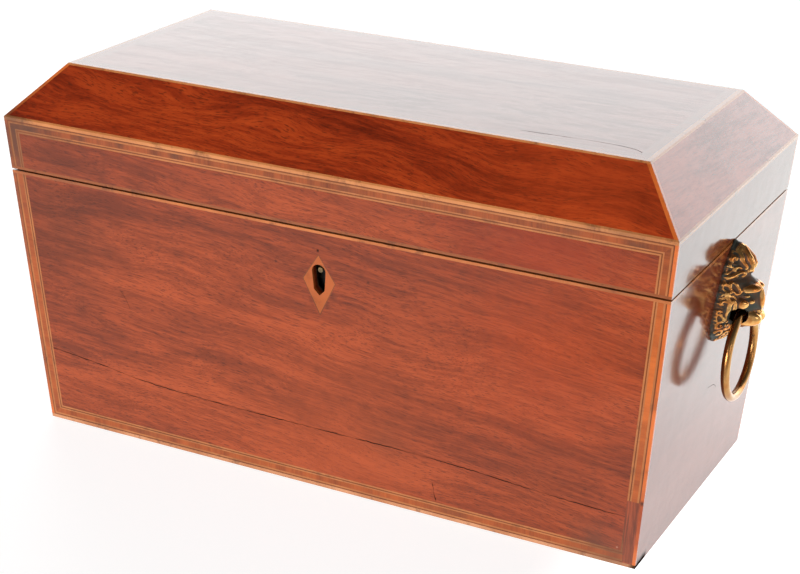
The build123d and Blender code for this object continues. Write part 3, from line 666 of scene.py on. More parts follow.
@dataclass(frozen=True)
class Veneer:
    """A polished wood: its colours from dark streak to light, its pores, marks and polish."""

    name: str
    dark: Colour
    middle: Colour
    light: Colour
    pore: Colour = (0.030, 0.006, 0.002)
    pore_share: float = 0.55
    opened: Colour = (0.012, 0.004, 0.002)
    run: GrainRun = GrainRun.ALONG_FRONT
    drift: float = 0.10
    fineness: float = 1.0
    shift: tuple[float, float, float] = (0.0, 0.0, 0.0)
    polish: float = 1.0
    polish_streak: float = 0.06
    polish_roughness: float = 0.10
    relief: float = 0.00004
    cracks: tuple[Crack, ...] = ()
    crack_axes: tuple[int, int] = (0, 2)
    tone_patches: tuple[TonePatch, ...] = ()

    def grain_vector(self, g: Graph, coordinates: bpy.types.Node) -> Socket:
        """Turn Object coordinates so that x runs along the grain.

        Args:
            g: The material's graph.
            coordinates: Its Texture Coordinate node.

        Returns:
            The turned vector.
        """
        x, y, z = g.split(coordinates.outputs["Object"])
        if self.run is GrainRun.ALONG_FRONT:
            turned = g.join(x, y, z)
        elif self.run is GrainRun.ALONG_END:
            turned = g.join(y, x, z)
        else:
            inputs = {0: g.on_ends(coordinates), 4: g.join(x, y, z), 5: g.join(y, x, z)}
            turned = g.node("Mix", inputs, data_type="VECTOR").outputs[1]
        return g.stretch(turned, (1.0, 1.0, 1.0), self.shift)

    def damage(
        self, g: Graph, effects: Effects, placed: Socket, bare: list[Socket]
    ) -> Socket | None:
        """Join the cracks and the bare places into one mask.

        Args:
            g: The material's graph.
            effects: The shared node groups.
            placed: Object coordinates.
            bare: Masks of the places that patches left bare.

        Returns:
            A mask that is 1 where the polish is broken, or None where nothing is.
        """
        place = g.split(placed)
        along, across = place[self.crack_axes[0]], place[self.crack_axes[1]]
        joined: Socket | None = None
        for mask in [crack.mask(g, effects, along, across) for crack in self.cracks] + bare:
            joined = mask if joined is None else g.math("MAXIMUM", joined, mask)
        return joined

    def build(self, effects: Effects) -> bpy.types.Material:
        """Make the material.

        Args:
            effects: The shared node groups.

        Returns:
            The material.
        """
        made, g, shader = start_material(self.name)
        coordinates = g.node("TexCoord")
        placed = coordinates.outputs["Object"]
        vector = self.grain_vector(g, coordinates)
        grain = g.group(effects.grain, Vector=vector, Drift=self.drift, Fineness=self.fineness)
        wear = g.group(effects.handling, Vector=placed)
        ribbon = g.math("MULTIPLY", grain["Ribbon"], 0.4)
        tone = g.math("ADD", g.math("MULTIPLY", grain["Streak"], 0.6), ribbon)
        colour = g.ramp(tone, [(0.0, self.dark), (0.5, self.middle), (1.0, self.light)])
        colour = g.blend(g.math("MULTIPLY", grain["Pores"], self.pore_share), colour, self.pore)
        colour, bare = lay_tone_patches(g, effects, placed, colour, self.tone_patches)
        height = grain["Height"]
        sunk = g.step(grain["Streak"], 0.0, 0.8, 1 - self.polish_streak, 1.0)
        polish = g.math("MULTIPLY", sunk, self.polish)
        broken = self.damage(g, effects, placed, bare)
        if broken is not None:
            colour = g.blend(broken, colour, self.opened)
            height = g.math("SUBTRACT", height, g.math("MULTIPLY", broken, 0.5))
            polish = g.math("SUBTRACT", polish, g.math("MULTIPLY", broken, 0.9), clamp=True)
        colour = g.blend(g.math("MULTIPLY", wear["Scratches"], 0.25), colour, self.light)
        relief = bump(g, height, self.relief)
        polish_wood(g, shader, colour, polish, self.polish_roughness, relief)
        waves = g.noise(g.stretch(placed, (60.0, 60.0, 60.0)), detail=2.0)
        set_inputs(g, shader, Coat_Normal=bump(g, waves, 2 * self.relief))
        return made


@dataclass(frozen=True)
class Stringing:
    """Narrow inlaid lines and edgings: their two tones, how worn they are, and their polish."""

    name: str
    first: Colour
    second: Colour
    dirt: Colour = (0.035, 0.010, 0.004)
    dirt_share: float = 0.35
    patch: Colour | None = None
    low: tuple[float, float, Colour] | None = None
    at_ends: Colour | None = None
    tone_patches: tuple[TonePatch, ...] = ()
    polish_roughness: float = 0.12
    relief: float = 0.00003

    def build(self, effects: Effects) -> bpy.types.Material:
        """Make the material.

        Args:
            effects: The shared node groups.

        Returns:
            The material.
        """
        made, g, shader = start_material(self.name)
        coordinates = g.node("TexCoord")
        placed = coordinates.outputs["Object"]
        wood = g.group(effects.line_wood, Vector=placed)
        colour = g.blend(wood["Tone"], self.first, self.second)
        # A darker tone below a level: on the lid edging, the foot string, without the painted
        # highlight of the parts above.
        if self.low:
            bottom, top, below = self.low
            colour = g.blend(g.step(g.split(placed)[2], top, bottom), colour, below)
        colour = g.blend(g.math("MULTIPLY", wood["Worn"], self.dirt_share), colour, self.dirt)
        if self.at_ends:
            colour = g.blend(g.on_ends(coordinates), colour, self.at_ends)
        if self.patch:
            colour = lay_slip(g, effects, placed, colour, self.patch)
        colour, bare = lay_tone_patches(g, effects, placed, colour, self.tone_patches)
        polish: Socket | float = 1.0
        for mask in bare:
            polish = g.math("SUBTRACT", polish, mask, clamp=True)
        relief = bump(g, wood["Fibre"], self.relief)
        polish_wood(g, shader, colour, polish, self.polish_roughness, relief)
        return made


class BandPlace(Enum):
    """Where a crossbanding lies."""

    CASE_FRONT = "case"
    LID = "lid"


@dataclass(frozen=True)
class Crossband:
    """Crossbanding: short lengths of veneer whose grain runs square to the band.

    The places that tell the sides, head and foot apart are half widths and levels in metres.
    """

    name: str
    lies: BandPlace
    dark: Colour
    light: Colour
    patch: Colour
    tone_patches: tuple[TonePatch, ...] = ()
    polish_roughness: float = 0.12
    relief: float = 0.00004
    foot_half: float = 0.14189
    foot_level: float = 0.0005
    lid_head: float = 0.1446
    top_half: tuple[float, float] = (0.13225, 0.05725)
    top_level: float = 0.16

    def run_along(self, g: Graph, placed: Socket) -> Socket:
        """Distance along the band, turning at the mitres.

        A place belongs to an upright length where it is nearer the side than the head or foot.

        Args:
            g: The material's graph.
            placed: Object coordinates.

        Returns:
            The distance run, in metres.
        """
        x, y, z = g.split(placed)
        side = g.math("MULTIPLY_ADD", z, WALL_SLOPE, self.foot_half)
        from_side = g.math("SUBTRACT", side, g.math("ABSOLUTE", x))
        if self.lies is BandPlace.CASE_FRONT:
            from_level = g.math("SUBTRACT", z, self.foot_level)
            return self.choose(g, g.math("LESS_THAN", from_side, from_level), z, x)
        from_level = g.math("SUBTRACT", self.lid_head, z)
        rail = self.choose(g, g.math("LESS_THAN", from_side, from_level), z, x)
        end = g.math("SUBTRACT", self.top_half[0], g.math("ABSOLUTE", x))
        long_side = g.math("SUBTRACT", self.top_half[1], g.math("ABSOLUTE", y))
        top = self.choose(g, g.math("LESS_THAN", end, long_side), y, x)
        return self.choose(g, g.math("GREATER_THAN", z, self.top_level), top, rail)

    @staticmethod
    def choose(g: Graph, test: Socket, yes: Socket, no: Socket) -> Socket:
        """Take one number where the test is 1 and the other where it is 0."""
        return g.node("Mix", {0: test, 2: no, 3: yes}, data_type="FLOAT").outputs[0]

    def build(self, effects: Effects) -> bpy.types.Material:
        """Make the material.

        Args:
            effects: The shared node groups.

        Returns:
            The material.
        """
        made, g, shader = start_material(self.name)
        placed = g.node("TexCoord").outputs["Object"]
        band = g.group(effects.cross_grain, Vector=placed, Run=self.run_along(g, placed))
        colour = g.ramp(band["Tone"], [(0.12, self.dark), (0.95, self.light)])
        colour = lay_slip(g, effects, placed, colour, self.patch)
        colour, _ = lay_tone_patches(g, effects, placed, colour, self.tone_patches)
        relief = bump(g, band["Fibre"], self.relief)
        polish_wood(g, shader, colour, 1.0, self.polish_roughness, relief)
        return made


@dataclass(frozen=True)
class KeyholeShade:
    """Painted shade: a black patch where the keyhole shows the lock. Its middle and its radius."""

    place: tuple[float, float, float]
    radius: float


@dataclass(frozen=True)
class AgedBrass:
    """Brass that has darkened: bright metal on the high places, patina in the hollows."""

    name: str
    bright: Colour
    warm: Colour
    patina: Colour
    roughness: float = 0.22
    cavity: bool = False
    keyhole_shade: KeyholeShade | None = None
    relief: float = 0.00005

    def build(self, effects: Effects) -> bpy.types.Material:
        """Make the material.

        Dullness eases from 0 on clean metal to 1 in hollows and in the painted shade of a
        keyhole. Metal turns brown up to the middle of it and dark beyond.

        Args:
            effects: The shared node groups.

        Returns:
            The material.
        """
        made, g, shader = start_material(self.name)
        placed = g.node("TexCoord").outputs["Object"]
        age = g.group(effects.patina, Vector=placed)
        wear = g.group(effects.handling, Vector=placed)
        if self.cavity:
            hollow = g.node("Attribute", attribute_name="hollow").outputs["Fac"]
        else:
            hollow = g.math("MULTIPLY", g.step(age["Tint"], 0.55, 0.75), 0.45)
        spotted = g.math("MULTIPLY", g.math("SUBTRACT", age["Spots"], 0.5), 0.55)
        ragged = g.math("ADD", hollow, spotted)
        # Painted shade: a black patch where the keyhole shows the lock, so that the keyhole looks
        # dark.
        if self.keyhole_shade:
            reach = g.distance(placed, self.keyhole_shade.place)
            near = g.step(reach, 1.3 * self.keyhole_shade.radius, 0.8 * self.keyhole_shade.radius)
            ragged = g.math("ADD", ragged, near)
        dull = g.step(ragged, 0.20, 0.80)
        metal = g.blend(g.step(age["Tint"], 0.35, 0.65), self.bright, self.warm)
        brown = tuple(0.42 * part for part in self.warm)
        deep = tuple(0.16 * part for part in self.warm)
        dark = g.blend(g.step(age["Tint"], 0.40, 0.62), self.patina, deep)
        toned = g.blend(g.step(dull, 0.0, 0.6), metal, brown)
        rough = g.math("ADD", g.math("MULTIPLY", dull, 0.32), self.roughness)
        rough = g.math("ADD", rough, g.math("MULTIPLY", wear["Bloom"], 0.08))
        scratches = g.math("MULTIPLY", wear["Scratches"], -0.5)
        height = g.math("ADD", g.math("MULTIPLY", age["Spots"], 0.6), scratches)
        set_inputs(
            g,
            shader,
            Base_Color=g.blend(g.step(dull, 0.5, 1.0), toned, dark),
            Metallic=g.step(dull, 0.0, 1.0, 1.0, 0.45),
            Roughness=rough,
            Normal=bump(g, height, self.relief),
        )
        return made


@dataclass(frozen=True)
class Cloth:
    """Baize or velvet: a short pile with a sheen."""

    name: str
    dark: Colour
    light: Colour
    sheen: float = 0.5
    relief: float = 0.00025

    def build(self, effects: Effects) -> bpy.types.Material:
        """Make the material.

        Args:
            effects: The shared node groups.

        Returns:
            The material.
        """
        made, g, shader = start_material(self.name)
        placed = g.node("TexCoord").outputs["Object"]
        pile = g.group(effects.pile, Vector=placed)
        wear = g.group(effects.handling, Vector=placed)
        colour = g.ramp(pile["Tone"], [(0.3, self.dark), (0.7, self.light)])
        colour = g.blend(g.math("MULTIPLY", wear["Bloom"], 0.25), colour, self.light)
        set_inputs(
            g,
            shader,
            Base_Color=colour,
            Roughness=0.95,
            Specular_IOR_Level=0.1,
            Sheen_Weight=self.sheen,
            Sheen_Roughness=0.4,
            Normal=bump(g, pile["Tufts"], self.relief),
        )
        return made


@dataclass(frozen=True)
class ClearGlass:
    """Clear old glass with a faint grey-green tint and a few wipe marks."""

    name: str
    tint: Colour = (0.93, 0.97, 0.95)
    relief: float = 0.00006

    def build(self, effects: Effects) -> bpy.types.Material:
        """Make the material.

        Args:
            effects: The shared node groups.

        Returns:
            The material.
        """
        made, g, shader = start_material(self.name)
        placed = g.node("TexCoord").outputs["Object"]
        wear = g.group(effects.handling, Vector=placed)
        bloom = g.math("MULTIPLY", wear["Bloom"], 0.02)
        rough = g.math("MULTIPLY_ADD", wear["Scratches"], 0.12, bloom)
        waves = g.noise(placed, scale=90.0, detail=2.0)
        set_inputs(
            g,
            shader,
            Base_Color=self.tint,
            Roughness=rough,
            IOR=1.52,
            Transmission_Weight=1.0,
            Normal=bump(g, waves, self.relief),
        )
        return made


@dataclass(frozen=True)
class Bone:
    """Turned bone: creamy, with fine darker flecks along its length, yellowed by hands."""

    name: str
    light: Colour = (0.72, 0.62, 0.42)
    fleck: Colour = (0.36, 0.24, 0.11)
    yellowed: Colour = (0.55, 0.42, 0.24)
    relief: float = 0.00003

    def build(self, effects: Effects) -> bpy.types.Material:
        """Make the material.

        Args:
            effects: The shared node groups.

        Returns:
            The material.
        """
        made, g, shader = start_material(self.name)
        placed = g.node("TexCoord").outputs["Object"]
        flecks = g.noise(g.stretch(placed, (2600.0, 2600.0, 500.0)), detail=2.0)
        wear = g.group(effects.handling, Vector=placed)
        colour = g.blend(g.step(flecks, 0.58, 0.72), self.light, self.fleck)
        colour = g.blend(g.math("MULTIPLY", wear["Bloom"], 0.3), colour, self.yellowed)
        set_inputs(
            g,
            shader,
            Base_Color=colour,
            Roughness=0.32,
            Coat_Weight=0.6,
            Coat_Roughness=0.15,
            Normal=bump(g, flecks, self.relief),
        )
        return made


# ---------------------------------------------------------------- meshes


def mesh_object(
    name: str, points: np.ndarray, faces: np.ndarray, smooth: bool = True
) -> bpy.types.Object:
    """Put arrays of points and faces into a new object at the origin.

    Args:
        name: The object's name.
        points: One row of three numbers for each vertex, in metres.
        faces: One row of vertex numbers for each face, four in a row, or three.
        smooth: Whether the faces are shaded smooth.

    Returns:
        The object, linked into the scene.
    """
    mesh = bpy.data.meshes.new(name)
    sides = faces.shape[1]
    mesh.vertices.add(len(points))
    mesh.vertices.foreach_set("co", points.astype(np.float32).ravel())
    mesh.loops.add(faces.size)
    mesh.loops.foreach_set("vertex_index", faces.astype(np.int32).ravel())
    mesh.polygons.add(len(faces))
    mesh.polygons.foreach_set("loop_start", np.arange(0, faces.size, sides, dtype=np.int32))
    mesh.polygons.foreach_set("loop_total", np.full(len(faces), sides, dtype=np.int32))
    mesh.polygons.foreach_set("use_smooth", np.full(len(faces), smooth))
    mesh.update(calc_edges=True)
    mesh.validate()
    made = bpy.data.objects.new(name, mesh)
    bpy.context.scene.collection.objects.link(made)
    return made


def grid_faces(
    rows: int, columns: int, wrap_rows: bool = False, wrap_columns: bool = False
) -> np.ndarray:
    """Number the quads of a grid of points stored row by row.

    Args:
        rows: How many rows of points.
        columns: How many points in a row.
        wrap_rows: Whether the last row joins the first.
        wrap_columns: Whether each row is a ring.

    Returns:
        One row of four vertex numbers for each quad.
    """
    row = np.arange(rows if wrap_rows else rows - 1)[:, None]
    column = np.arange(columns if wrap_columns else columns - 1)[None, :]
    below, beside = (row + 1) % rows, (column + 1) % columns
    corners = (
        row * columns + column,
        row * columns + beside,
        below * columns + beside,
        below * columns + column,
    )
    spread = [np.broadcast_to(corner, (row.size, column.size)) for corner in corners]
    return np.stack(spread, axis=-1).reshape(-1, 4)


def smooth_rows(values: np.ndarray, radius: int) -> np.ndarray:
    """Blur a grid by running means along both axes, three times over.

    Args:
        values: A grid of numbers.
        radius: Half of the mean's width, in cells.

    Returns:
        The blurred grid, of the same shape.
    """
    size = 2 * radius + 1
    for _ in range(3):
        for axis in (0, 1):
            pad = [(0, 0), (0, 0)]
            pad[axis] = (radius + 1, radius)
            total = np.cumsum(np.pad(values, pad, mode="edge"), axis=axis)
            ahead = np.take(total, range(size, total.shape[axis]), axis=axis)
            behind = np.take(total, range(0, total.shape[axis] - size), axis=axis)
            values = (ahead - behind) / size
    return values


def dome(
    y: np.ndarray, z: np.ndarray, centre: Sequence[float], size: Sequence[float], tilt: float
) -> np.ndarray:
    """A dome over an ellipse: 1 in its middle, and steep down to 0 at its rim.

    Args:
        y: Places across.
        z: Places up.
        centre: The ellipse's middle.
        size: Its two half axes.
        tilt: Its turn, in degrees.

    Returns:
        The dome's height, as a share.
    """
    turn = math.radians(tilt)
    across, up = y - centre[0], z - centre[1]
    along = (across * math.cos(turn) + up * math.sin(turn)) / size[0]
    over = (up * math.cos(turn) - across * math.sin(turn)) / size[1]
    return np.sqrt(np.clip(1 - along**2 - over**2, 0, 1))


def hill(
    y: np.ndarray, z: np.ndarray, at: Sequence[float], size: Sequence[float], turn: float = 0.0
) -> np.ndarray:
    """A round-topped hill: the bell of the distance from its middle, in its own sizes.

    Args:
        y: Places across.
        z: Places up.
        at: The middle.
        size: The reach each way.
        turn: How far the hill is turned, in degrees.

    Returns:
        Its height from 0 to 1.
    """
    c, s = math.cos(math.radians(turn)), math.sin(math.radians(turn))
    across = ((y - at[0]) * c + (z - at[1]) * s) / size[0]
    rise = ((z - at[1]) * c - (y - at[0]) * s) / size[1]
    return np.exp(-(across**2 + rise**2))


def ease(values: np.ndarray, low: float, high: float) -> np.ndarray:
    """Smooth step from 0 at low to 1 at high."""
    share = np.clip((values - low) / (high - low), 0.0, 1.0)
    return share * share * (3 - 2 * share)


def soft_higher(first: np.ndarray, second: np.ndarray, soft: float = 0.35) -> np.ndarray:
    """The higher of two surfaces, joined softly: half of their sum and their rounded gap."""
    return (first + second + np.sqrt((first - second) ** 2 + soft**2)) / 2


def resample(line: np.ndarray, count: int) -> np.ndarray:
    """Spread a number of points evenly by index along a line of points, joined straight."""
    pick = np.linspace(0, len(line) - 1, count)
    return np.stack([np.interp(pick, np.arange(len(line)), part) for part in line.T], axis=-1)


def round_off(line: np.ndarray, reach: int) -> np.ndarray:
    """Round a line's corners by running means, with its end points repeated.

    Args:
        line: Points along the line.
        reach: How many points the mean takes in on each side.

    Returns:
        As many points, on the rounded line.
    """
    kernel = np.ones(2 * reach + 1) / (2 * reach + 1)
    held = np.pad(line, ((reach, reach), (0, 0)), mode="edge")
    return np.stack([np.convolve(part, kernel, mode="valid") for part in held.T], axis=-1)


@dataclass(frozen=True)
class Lock:
    """One lock of hair: half of a round cord lying along a line, thinning towards its end."""

    points: tuple[tuple[float, float], ...]
    width: float = 0.85
    rise: float = 1.3
    thin: float = 0.35


def wound(
    across: float, up: float, radius: float, hand: int, start: float, turns: float = 1.2
) -> Lock:
    """A lock wound up like a snail shell: its distance from the middle shrinks as it turns.

    Args:
        across: The shell's middle, across.
        up: The shell's middle, up.
        radius: Its outer radius.
        hand: 1 to wind one way, -1 the other.
        start: The angle that it starts from, in degrees.
        turns: How many times it goes round.

    Returns:
        The lock.
    """
    share = np.linspace(0, 1, 30)
    angle = math.radians(start) + hand * share * turns * 2 * np.pi
    reach = radius * (1 - 0.85 * share)
    points = tuple(
        zip((across + reach * np.cos(angle)).tolist(), (up + reach * np.sin(angle)).tolist())
    )
    return Lock(points, width=0.40 * radius, rise=0.66 * radius, thin=0.15)


def looped(
    across: float, up: float, half_width: float, half_height: float, lean: float = 0.0
) -> Lock:
    """A long closed loop of hair.

    Args:
        across: The loop's middle, across.
        up: The loop's middle, up.
        half_width: Half of its width.
        half_height: Half of its height.
        lean: How far its top leans outwards.

    Returns:
        The lock.
    """
    angle = np.linspace(0, 1.9 * np.pi, 30) + 0.6
    rise = half_height * np.sin(angle)
    side = half_width * np.cos(angle) + lean * rise / half_height
    points = tuple(zip((across + side).tolist(), (up + rise).tolist()))
    return Lock(points, width=0.58, rise=1.15, thin=0.2)


@dataclass(frozen=True)
class Swell:
    """One domed part of the face: where it is, its half axes and turn, its rise and its shine."""

    centre: tuple[float, float]
    size: tuple[float, float]
    tilt: float = 0.0
    rise: float = 1.0
    shine: float = 1.0

    def over(self, y: np.ndarray, z: np.ndarray) -> np.ndarray:
        """The dome's height over a grid, as a share of its rise."""
        return dome(y, z, self.centre, self.size, self.tilt)


@dataclass
class LionMask:
    """A cast brass lion's head on the end of the case, pierced behind its muzzle for the ring.

    The face is a height above the wall over a grid of places across (y) and up (z), in
    millimetres until the mesh is made. The grid narrows to a point at the head and the foot.
    """

    foot: float = 77.9
    head: float = 121.2
    columns: int = 241
    rows: int = 321
    wall_at_arris: float = 152.5
    arris_up: float = 144.5
    ring_axis: tuple[float, float] = (157.5, 91.5)
    passage: float = 3.5
    passage_half: float = 9.4
    rim: float = 0.55
    outline_up: tuple[float, ...] = (
        77.9, 78.2, 79.0, 81.0, 83.5, 87.0, 90.3, 94.0, 97.4, 102.9,
        106.5, 109.9, 113.0, 115.1, 117.3, 118.6, 119.6, 120.6, 121.2,
    )
    outline_half: tuple[float, ...] = (
        0.0, 4.6, 9.0, 12.0, 13.6, 14.7, 15.0, 14.5, 13.9, 12.2,
        10.9, 9.6, 8.2, 6.6, 4.4, 3.2, 2.2, 1.1, 0.0,
    )
    profile_up: tuple[float, ...] = (
        77.9, 80.0, 83.0, 86.0, 90.0, 94.0, 98.0, 102.0, 104.0,
        105.4, 106.8, 108.0, 110.0, 112.5, 115.0, 117.5, 119.6, 121.2,
    )
    profile: tuple[float, ...] = (
        1.0, 4.4, 7.0, 9.5, 13.0, 15.0, 14.6, 13.8, 12.6,
        11.0, 8.8, 8.6, 8.8, 8.9, 7.6, 4.6, 1.7, 0.3,
    )
    locks: tuple[Lock, ...] = (
        Lock(
            ((6.7, 114.0), (6.5, 115.0), (5.7, 115.7), (5.0, 115.2), (5.4, 114.4)),
            0.75, 1.3, 0.2,
        ),
        Lock(((5.0, 117.0), (4.2, 117.6), (3.7, 116.9)), 0.6, 0.9, 0.3),
        Lock(((7.9, 112.9), (8.0, 111.8), (7.2, 111.7)), 0.6, 0.9, 0.3),
        Lock(((9.5, 110.2), (9.3, 111.3), (8.5, 111.1)), 0.65, 1.0, 0.3),
        Lock(
            (
                (9.6, 107.6), (8.3, 108.0), (7.2, 108.9), (5.8, 109.5),
                (4.4, 109.4), (4.0, 108.4), (4.9, 107.6),
            ),
            1.0, 2.1, 0.2,
        ),
        Lock(((7.2, 110.3), (6.6, 111.3), (5.6, 111.5), (4.8, 110.8)), 0.7, 1.5, 0.3),
        Lock(((9.6, 109.2), (8.6, 109.6), (7.6, 110.2)), 0.55, 0.9, 0.3),
        Lock(((7.6, 107.4), (6.4, 107.6), (5.6, 108.1)), 0.6, 1.0, 0.3),
        wound(10.9, 106.2, 1.25, 1, 250),
        looped(10.6, 103.6, 0.95, 1.9, 0.3),
        looped(8.5, 103.3, 1.05, 2.5, 0.3),
        wound(12.2, 100.6, 1.45, -1, 20, 1.0),
        Lock(((11.2, 101.6), (10.6, 100.3), (9.4, 100.2), (8.8, 99.0)), 0.65, 1.3, 0.2),
        wound(12.6, 97.2, 1.7, -1, 200, 0.8),
        Lock(
            ((11.1, 99.6), (10.7, 98.0), (10.9, 96.0), (11.7, 93.8), (11.5, 91.6), (12.2, 89.6)),
            0.72, 1.6, 0.2,
        ),
        Lock(
            ((9.9, 98.8), (9.5, 97.0), (9.5, 95.0), (10.3, 93.0), (10.1, 90.9), (10.8, 89.0)),
            0.66, 1.6, 0.2,
        ),
        wound(13.5, 93.9, 1.3, 1, 240, 1.0),
        looped(13.5, 91.0, 1.0, 1.8, 0.2),
        wound(12.6, 87.6, 1.9, -1, 100, 0.9),
        wound(9.4, 86.0, 1.8, 1, 60, 0.9),
        wound(11.5, 83.8, 1.8, 1, 30, 0.9),
        wound(7.8, 82.6, 1.8, -1, 200, 0.9),
        wound(9.3, 80.2, 1.3, 1, 120, 0.9),
        wound(5.3, 80.3, 1.5, -1, 60, 0.9),
        Lock(((4.6, 83.4), (3.9, 81.4), (2.4, 79.9)), 0.75, 1.4, 0.3),
        Lock(((2.6, 82.8), (1.8, 80.8), (0.7, 79.3)), 0.75, 1.5, 0.3),
    )
    forelock: tuple[Lock, ...] = (
        Lock(
            (
                (0.5, 118.9), (0.9, 118.0), (1.2, 117.2), (1.5, 116.2),
                (1.8, 114.0), (1.7, 111.8), (2.0, 110.0), (3.1, 109.7),
            ),
            1.35, 2.5, 0.2,
        ),
        Lock(
            (
                (1.5, 118.6), (2.5, 117.8), (3.3, 116.4), (4.0, 114.4),
                (3.9, 112.4), (3.3, 111.2), (3.9, 110.6),
            ),
            0.85, 1.7, 0.2,
        ),
        Lock(((0.1, 108.4), (0.3, 111.0), (0.2, 114.5), (0.1, 117.4)), 0.5, 1.0, 0.3),
    )
    eyelid: Swell = Swell((5.2, 99.7), (1.2, 0.7), -12, rise=0.9, shine=0.5)
    swells: tuple[Swell, ...] = (
        Swell((4.1, 102.7), (3.0, 1.9), -14, rise=3.0, shine=1.0),
        Swell((1.2, 103.6), (1.3, 1.5), rise=0.5, shine=0.75),
        Swell((0.0, 98.2), (1.5, 5.4), rise=1.5, shine=0.85),
        Swell((7.0, 96.6), (1.7, 2.0), 10, rise=1.7, shine=0.72),
        Swell((4.2, 97.2), (1.1, 0.9), -20, rise=0.9, shine=0.8),
        eyelid,
    )
    fringe_foot: float = 88.25
    fringe_head: float = 117.0
    muzzle_up: float = 89.7
    muzzle_half: tuple[float, float] = (7.6, 5.4)
    muzzle_power: float = 2.7
    muzzle_depth: float = 15.2
    whisker_first: tuple[float, float] = (2.6, 87.6)
    whisker_steps: tuple[float, float] = (1.2, 1.4)
    jaw_depth: float = 5.4

    def outline(self, up: np.ndarray) -> np.ndarray:
        """Half of the plate's width at a height, with a small scallop at each lock."""
        half = np.interp(up, self.outline_up, self.outline_half)
        return half + 0.25 * np.sin(up * 1.75) * np.minimum(half / 6.0, 1.0)

    def fringe(self) -> tuple[Lock, ...]:
        """Short locks that sweep in from the outline, each third one reaching furthest.

        Returns:
            The locks, from the jaw up.
        """
        made = []
        for number, up in enumerate(np.arange(self.fringe_foot, self.fringe_head, 1.45)):
            edge = float(np.interp(up, self.outline_up, self.outline_half))
            sweep = 1.5 + 0.5 * (number % 3)
            line = ((edge + 0.2, up + 0.9), (edge - 0.6, up + 0.5), (edge - sweep, up - 0.5))
            made.append(Lock(line, 0.55, 0.7, 0.4))
        return tuple(made)

    @staticmethod
    def lay(y: np.ndarray, z: np.ndarray, lock: Lock) -> np.ndarray:
        """Height of one lock: half of a round cord along its line, so an arch across it.

        Args:
            y: Places across, in one half of the face.
            z: Places up.
            lock: The lock.

        Returns:
            Its height, which is 0 away from it.
        """
        line = np.array(lock.points)
        count = 44
        if len(line) < 12:
            line = round_off(resample(line, 12 * len(line)), 5)
        line = resample(line, count)
        width = lock.width * (1 - lock.thin * np.linspace(0, 1, count))
        reach = lock.width + 0.1
        near = (y > line[:, 0].min() - reach) & (y < line[:, 0].max() + reach)
        near &= (z > line[:, 1].min() - reach) & (z < line[:, 1].max() + reach)
        away = np.hypot(y[near][None, :] - line[:, 0, None], z[near][None, :] - line[:, 1, None])
        share = away / width[:, None]
        arch = np.sqrt(np.clip(1 - share**2, 0, 1)) - 0.16 * np.exp(-(((share - 0.5) / 0.14) ** 2))
        height = np.zeros_like(y)
        height[near] = lock.rise * np.maximum((arch * (width / lock.width)[:, None]).max(axis=0), 0)
        return height

    def muzzle(self, side: np.ndarray, z: np.ndarray) -> tuple[np.ndarray, np.ndarray]:
        """The muzzle: a block with rounded corners that carries the lips, mouth and nose.

        The block is 1 less the powers of the distances across and up. The cheeks of the lip
        swell from it, a groove parts them, the mouth and nostrils sink in, the nose rises, and
        three rows of whisker roots are pricked.

        Args:
            side: Places across, in one half of the face.
            z: Places up.

        Returns:
            The block from 0 to 1, and the muzzle's height above the wall.
        """
        across = (side / self.muzzle_half[0]) ** self.muzzle_power
        rise = (np.abs(z - self.muzzle_up) / self.muzzle_half[1]) ** self.muzzle_power
        block = np.clip(1 - across - rise, 0, 1) ** 0.42
        lips = 2.3 * hill(side, z, (3.6, 89.2), (2.9, 3.3))
        parting = 2.2 * np.exp(-((side / 0.6) ** 2)) * ease(-z, -92.0, -90.5)
        mouth = 1.6 * np.exp(-(((z - 85.7 - 0.03 * side**2) / 0.5) ** 2))
        nose = 2.2 * hill(side, z, (0.0, 93.2), (2.7, 1.6))
        nostril = 2.2 * hill(side, z, (2.0, 92.3), (0.9, 0.65), 30)
        height = self.muzzle_depth + lips - parting - mouth + nose - nostril
        for row in range(3):
            for dot in range(3):
                root = (
                    self.whisker_first[0] + dot * self.whisker_steps[0],
                    self.whisker_first[1] + row * self.whisker_steps[1],
                )
                height = height - 0.35 * hill(side, z, root, (0.28, 0.28))
        return block, block * height

    def face(
        self, y: np.ndarray, z: np.ndarray, share: np.ndarray
    ) -> tuple[np.ndarray, np.ndarray]:
        """Height of the whole head above the wall, and how much of its brass is rubbed bright.

        The head's profile falls off to the sides as a cone does. Locks of hair lie on it, and
        the brows, cheeks, nose and muzzle swell from it as domes. What swells is rubbed; the
        ground between is left dark. Beside the muzzle and below the eyes the mane is held down
        to the jaw's depth, so that the ring hangs clear of it.

        Args:
            y: Places across.
            z: Places up.
            share: Distance from the middle line as a share of the half width.

        Returns:
            The height in millimetres and the rubbed share.
        """
        side = np.abs(y)
        height = np.interp(z, self.profile_up, self.profile) * (1 - share**1.35)
        hair, rubbed = np.zeros_like(y), np.zeros_like(y)
        for lock in self.locks + self.forelock + self.fringe():
            laid = self.lay(side, z, lock)
            hair = np.maximum(hair, laid)
            rubbed = np.maximum(rubbed, ease(laid / lock.rise, 0.3, 0.95))
        height += hair

        for swell in self.swells:
            raised = swell.over(side, z)
            height += swell.rise * raised
            rubbed = np.maximum(rubbed, swell.shine * ease(raised, 0.25, 0.9))
        eye_socket = hill(side, z, (5.2, 99.9), (2.6, 1.5), -12)
        height -= 1.5 * eye_socket * (1 - self.eyelid.over(side, z))

        block, muzzle = self.muzzle(side, z)
        rubbed = np.where(muzzle > height, 0.92 * ease(block, 0.25, 0.6), rubbed)
        height = soft_higher(height, muzzle)

        cap = self.jaw_depth + 24 * ease(-side, -8.3, -7.5) + 24 * ease(z, 94.2, 97.0)
        height = (height + cap - np.sqrt((height - cap) ** 2 + 0.2)) / 2
        return np.maximum(height, 0.0) + self.rim, rubbed

